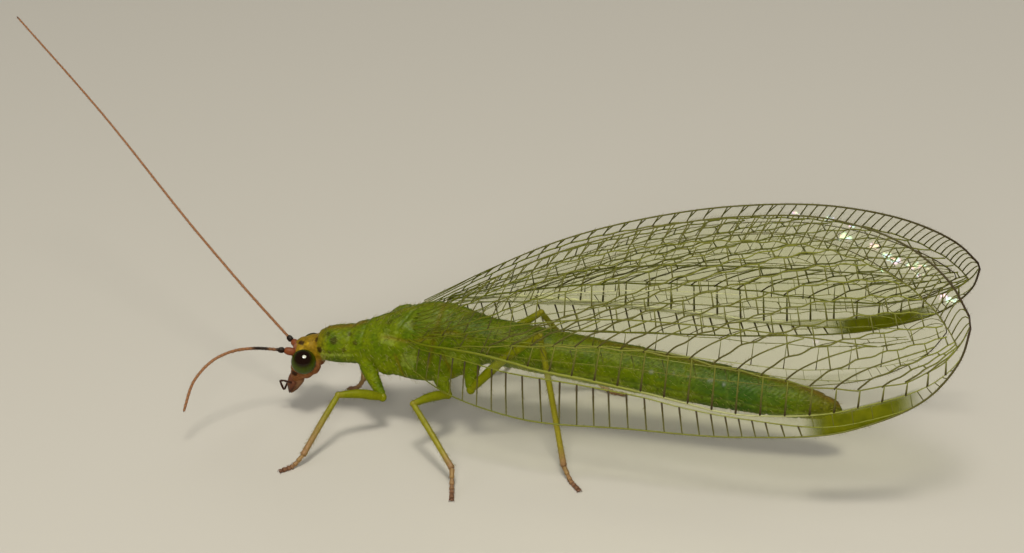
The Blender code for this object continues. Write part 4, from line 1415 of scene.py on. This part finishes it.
for wing_name, plan, scale, glints in (
    ("forewing", FORE_PLAN, 1.0, {"left": NEAR_GLINTS, "right": FAR_GLINTS}),
    ("hindwing", HIND_PLAN, 0.50, {"left": (), "right": ()}),
):
    net, fringe = vein_net(plan, scale)
    for side_name in ("left", "right"):
        sheet = membrane(plan, glints[side_name])
        net_points, net_faces, net_paints = net
        if side_name == "left":
            # Over the body the pale veins of the near wing take its green.
            vein_paleness = np.interp(net_points[:, 0], (3.5, 6.0), (0.0, 0.25))
            sheet[2]["band"] *= 0.5
        else:
            # The far wing's veins are painted paler and its pale band twice as strong: partly their own cream
            # colour, partly a painted highlight on the far wing's front veins.
            vein_paleness = 0.85
            sheet[2]["band"] *= 2.0
        tones = {**net_paints, "pale": net_paints["pale"] * vein_paleness}
        for part_name, material, (points, faces, paints), old_nodes in (
            ("membrane", membrane_skin, sheet, (f"{wing_name}_{side_name}",)),
            ("veins", vein_skin, (net_points, net_faces, tones), ()),
            ("hairs", hair_skin, fringe, ()),
        ):
            if side_name == "right":
                points, faces = mirrored((points, faces))
            name = f"{wing_name}_{part_name}_{side_name}"
            piece(name, material, "wing_membrane", points, faces, paints, replaces=old_nodes)


# Floor, light and camera

def placed(point):
    return Vector(((np.array(point, float) + SHIFT) * MM).tolist())


def looking(thing, point, target):
    thing.location = placed(point)
    thing.rotation_euler = (placed(target) - placed(point)).to_track_quat("-Z", "Y").to_euler()


floor_material, tree = empty_material("pale_floor")
paper = node(tree, "ShaderNodeBsdfPrincipled", {"Base Color": linear("bab6ac"), "Roughness": 0.9})
node(tree, "ShaderNodeOutputMaterial", {"Surface": paper.outputs[0]})
floor_mesh = bpy.data.meshes.new("floor")
floor_mesh.from_pydata([(-1, -1, 0), (1, -1, 0), (1, 1, 0), (-1, 1, 0)], [], [(0, 1, 2, 3)])
floor_mesh.materials.append(floor_material)
floor = linked("floor", floor_mesh)


def lamp(name, point, target, size, power, hex_colour):
    """A round soft light; its place and size are in mm and its power in watts."""
    light = bpy.data.lights.new(name, "AREA")
    light.shape = "DISK"
    light.size = size * MM
    light.energy = power
    light.color = linear(hex_colour)[:3]
    made = linked(name, light)
    looking(made, point, target)
    return made


lamp("key_light", (10, -78, 168), (1, 0, 2), 40, 0.20, "fff9ee")
front_light = lamp("front_light", (24, -150, 78), (1, 0, 3), 50, 0.17, "fffaf2")
fill_light = lamp("fill_light", (-120, -90, 110), (0, 0, 2), 90, 0.030, "f8f8fc")
eye_light = lamp("eye_light", (5.7, -17.8, 58.2), EYE_MIDDLE, 34, 0.14, "fffce0")
lamp("rim_light", (60, 120, 70), (2, 0, 3), 60, 0.03, "ffffff")
# The eye light only gives the eyes their clear highlight, and the two wide lights give none.
eye_light.visible_diffuse = False
eye_light.visible_transmission = False
front_light.visible_glossy = False
fill_light.visible_glossy = False

world = bpy.data.worlds.new("studio")
bpy.context.scene.world = world
world.use_nodes = True
world.node_tree.nodes.clear()
sky = node(world.node_tree, "ShaderNodeBackground", {"Color": linear("ecebe6"), "Strength": 0.22})
node(world.node_tree, "ShaderNodeOutputWorld", {"Surface": sky.outputs[0]})

# The camera stands 12 degrees round from the animal's left side and 25.5 degrees up.
camera_lens = bpy.data.cameras.new("camera")
camera_lens.lens = 101.95
camera_lens.sensor_width = 36.0
camera_lens.clip_start = 0.002
camera_lens.clip_end = 5.0
camera = linked("camera", camera_lens)
looking(camera, (14.59, -68.64, 38.24), (0, 0, 4.77))
scene = bpy.context.scene
scene.camera = camera
scene.view_settings.view_transform = "Standard"
# Light passes many sheets and hairs of the four wings.
scene.cycles.transparent_max_bounces = 32
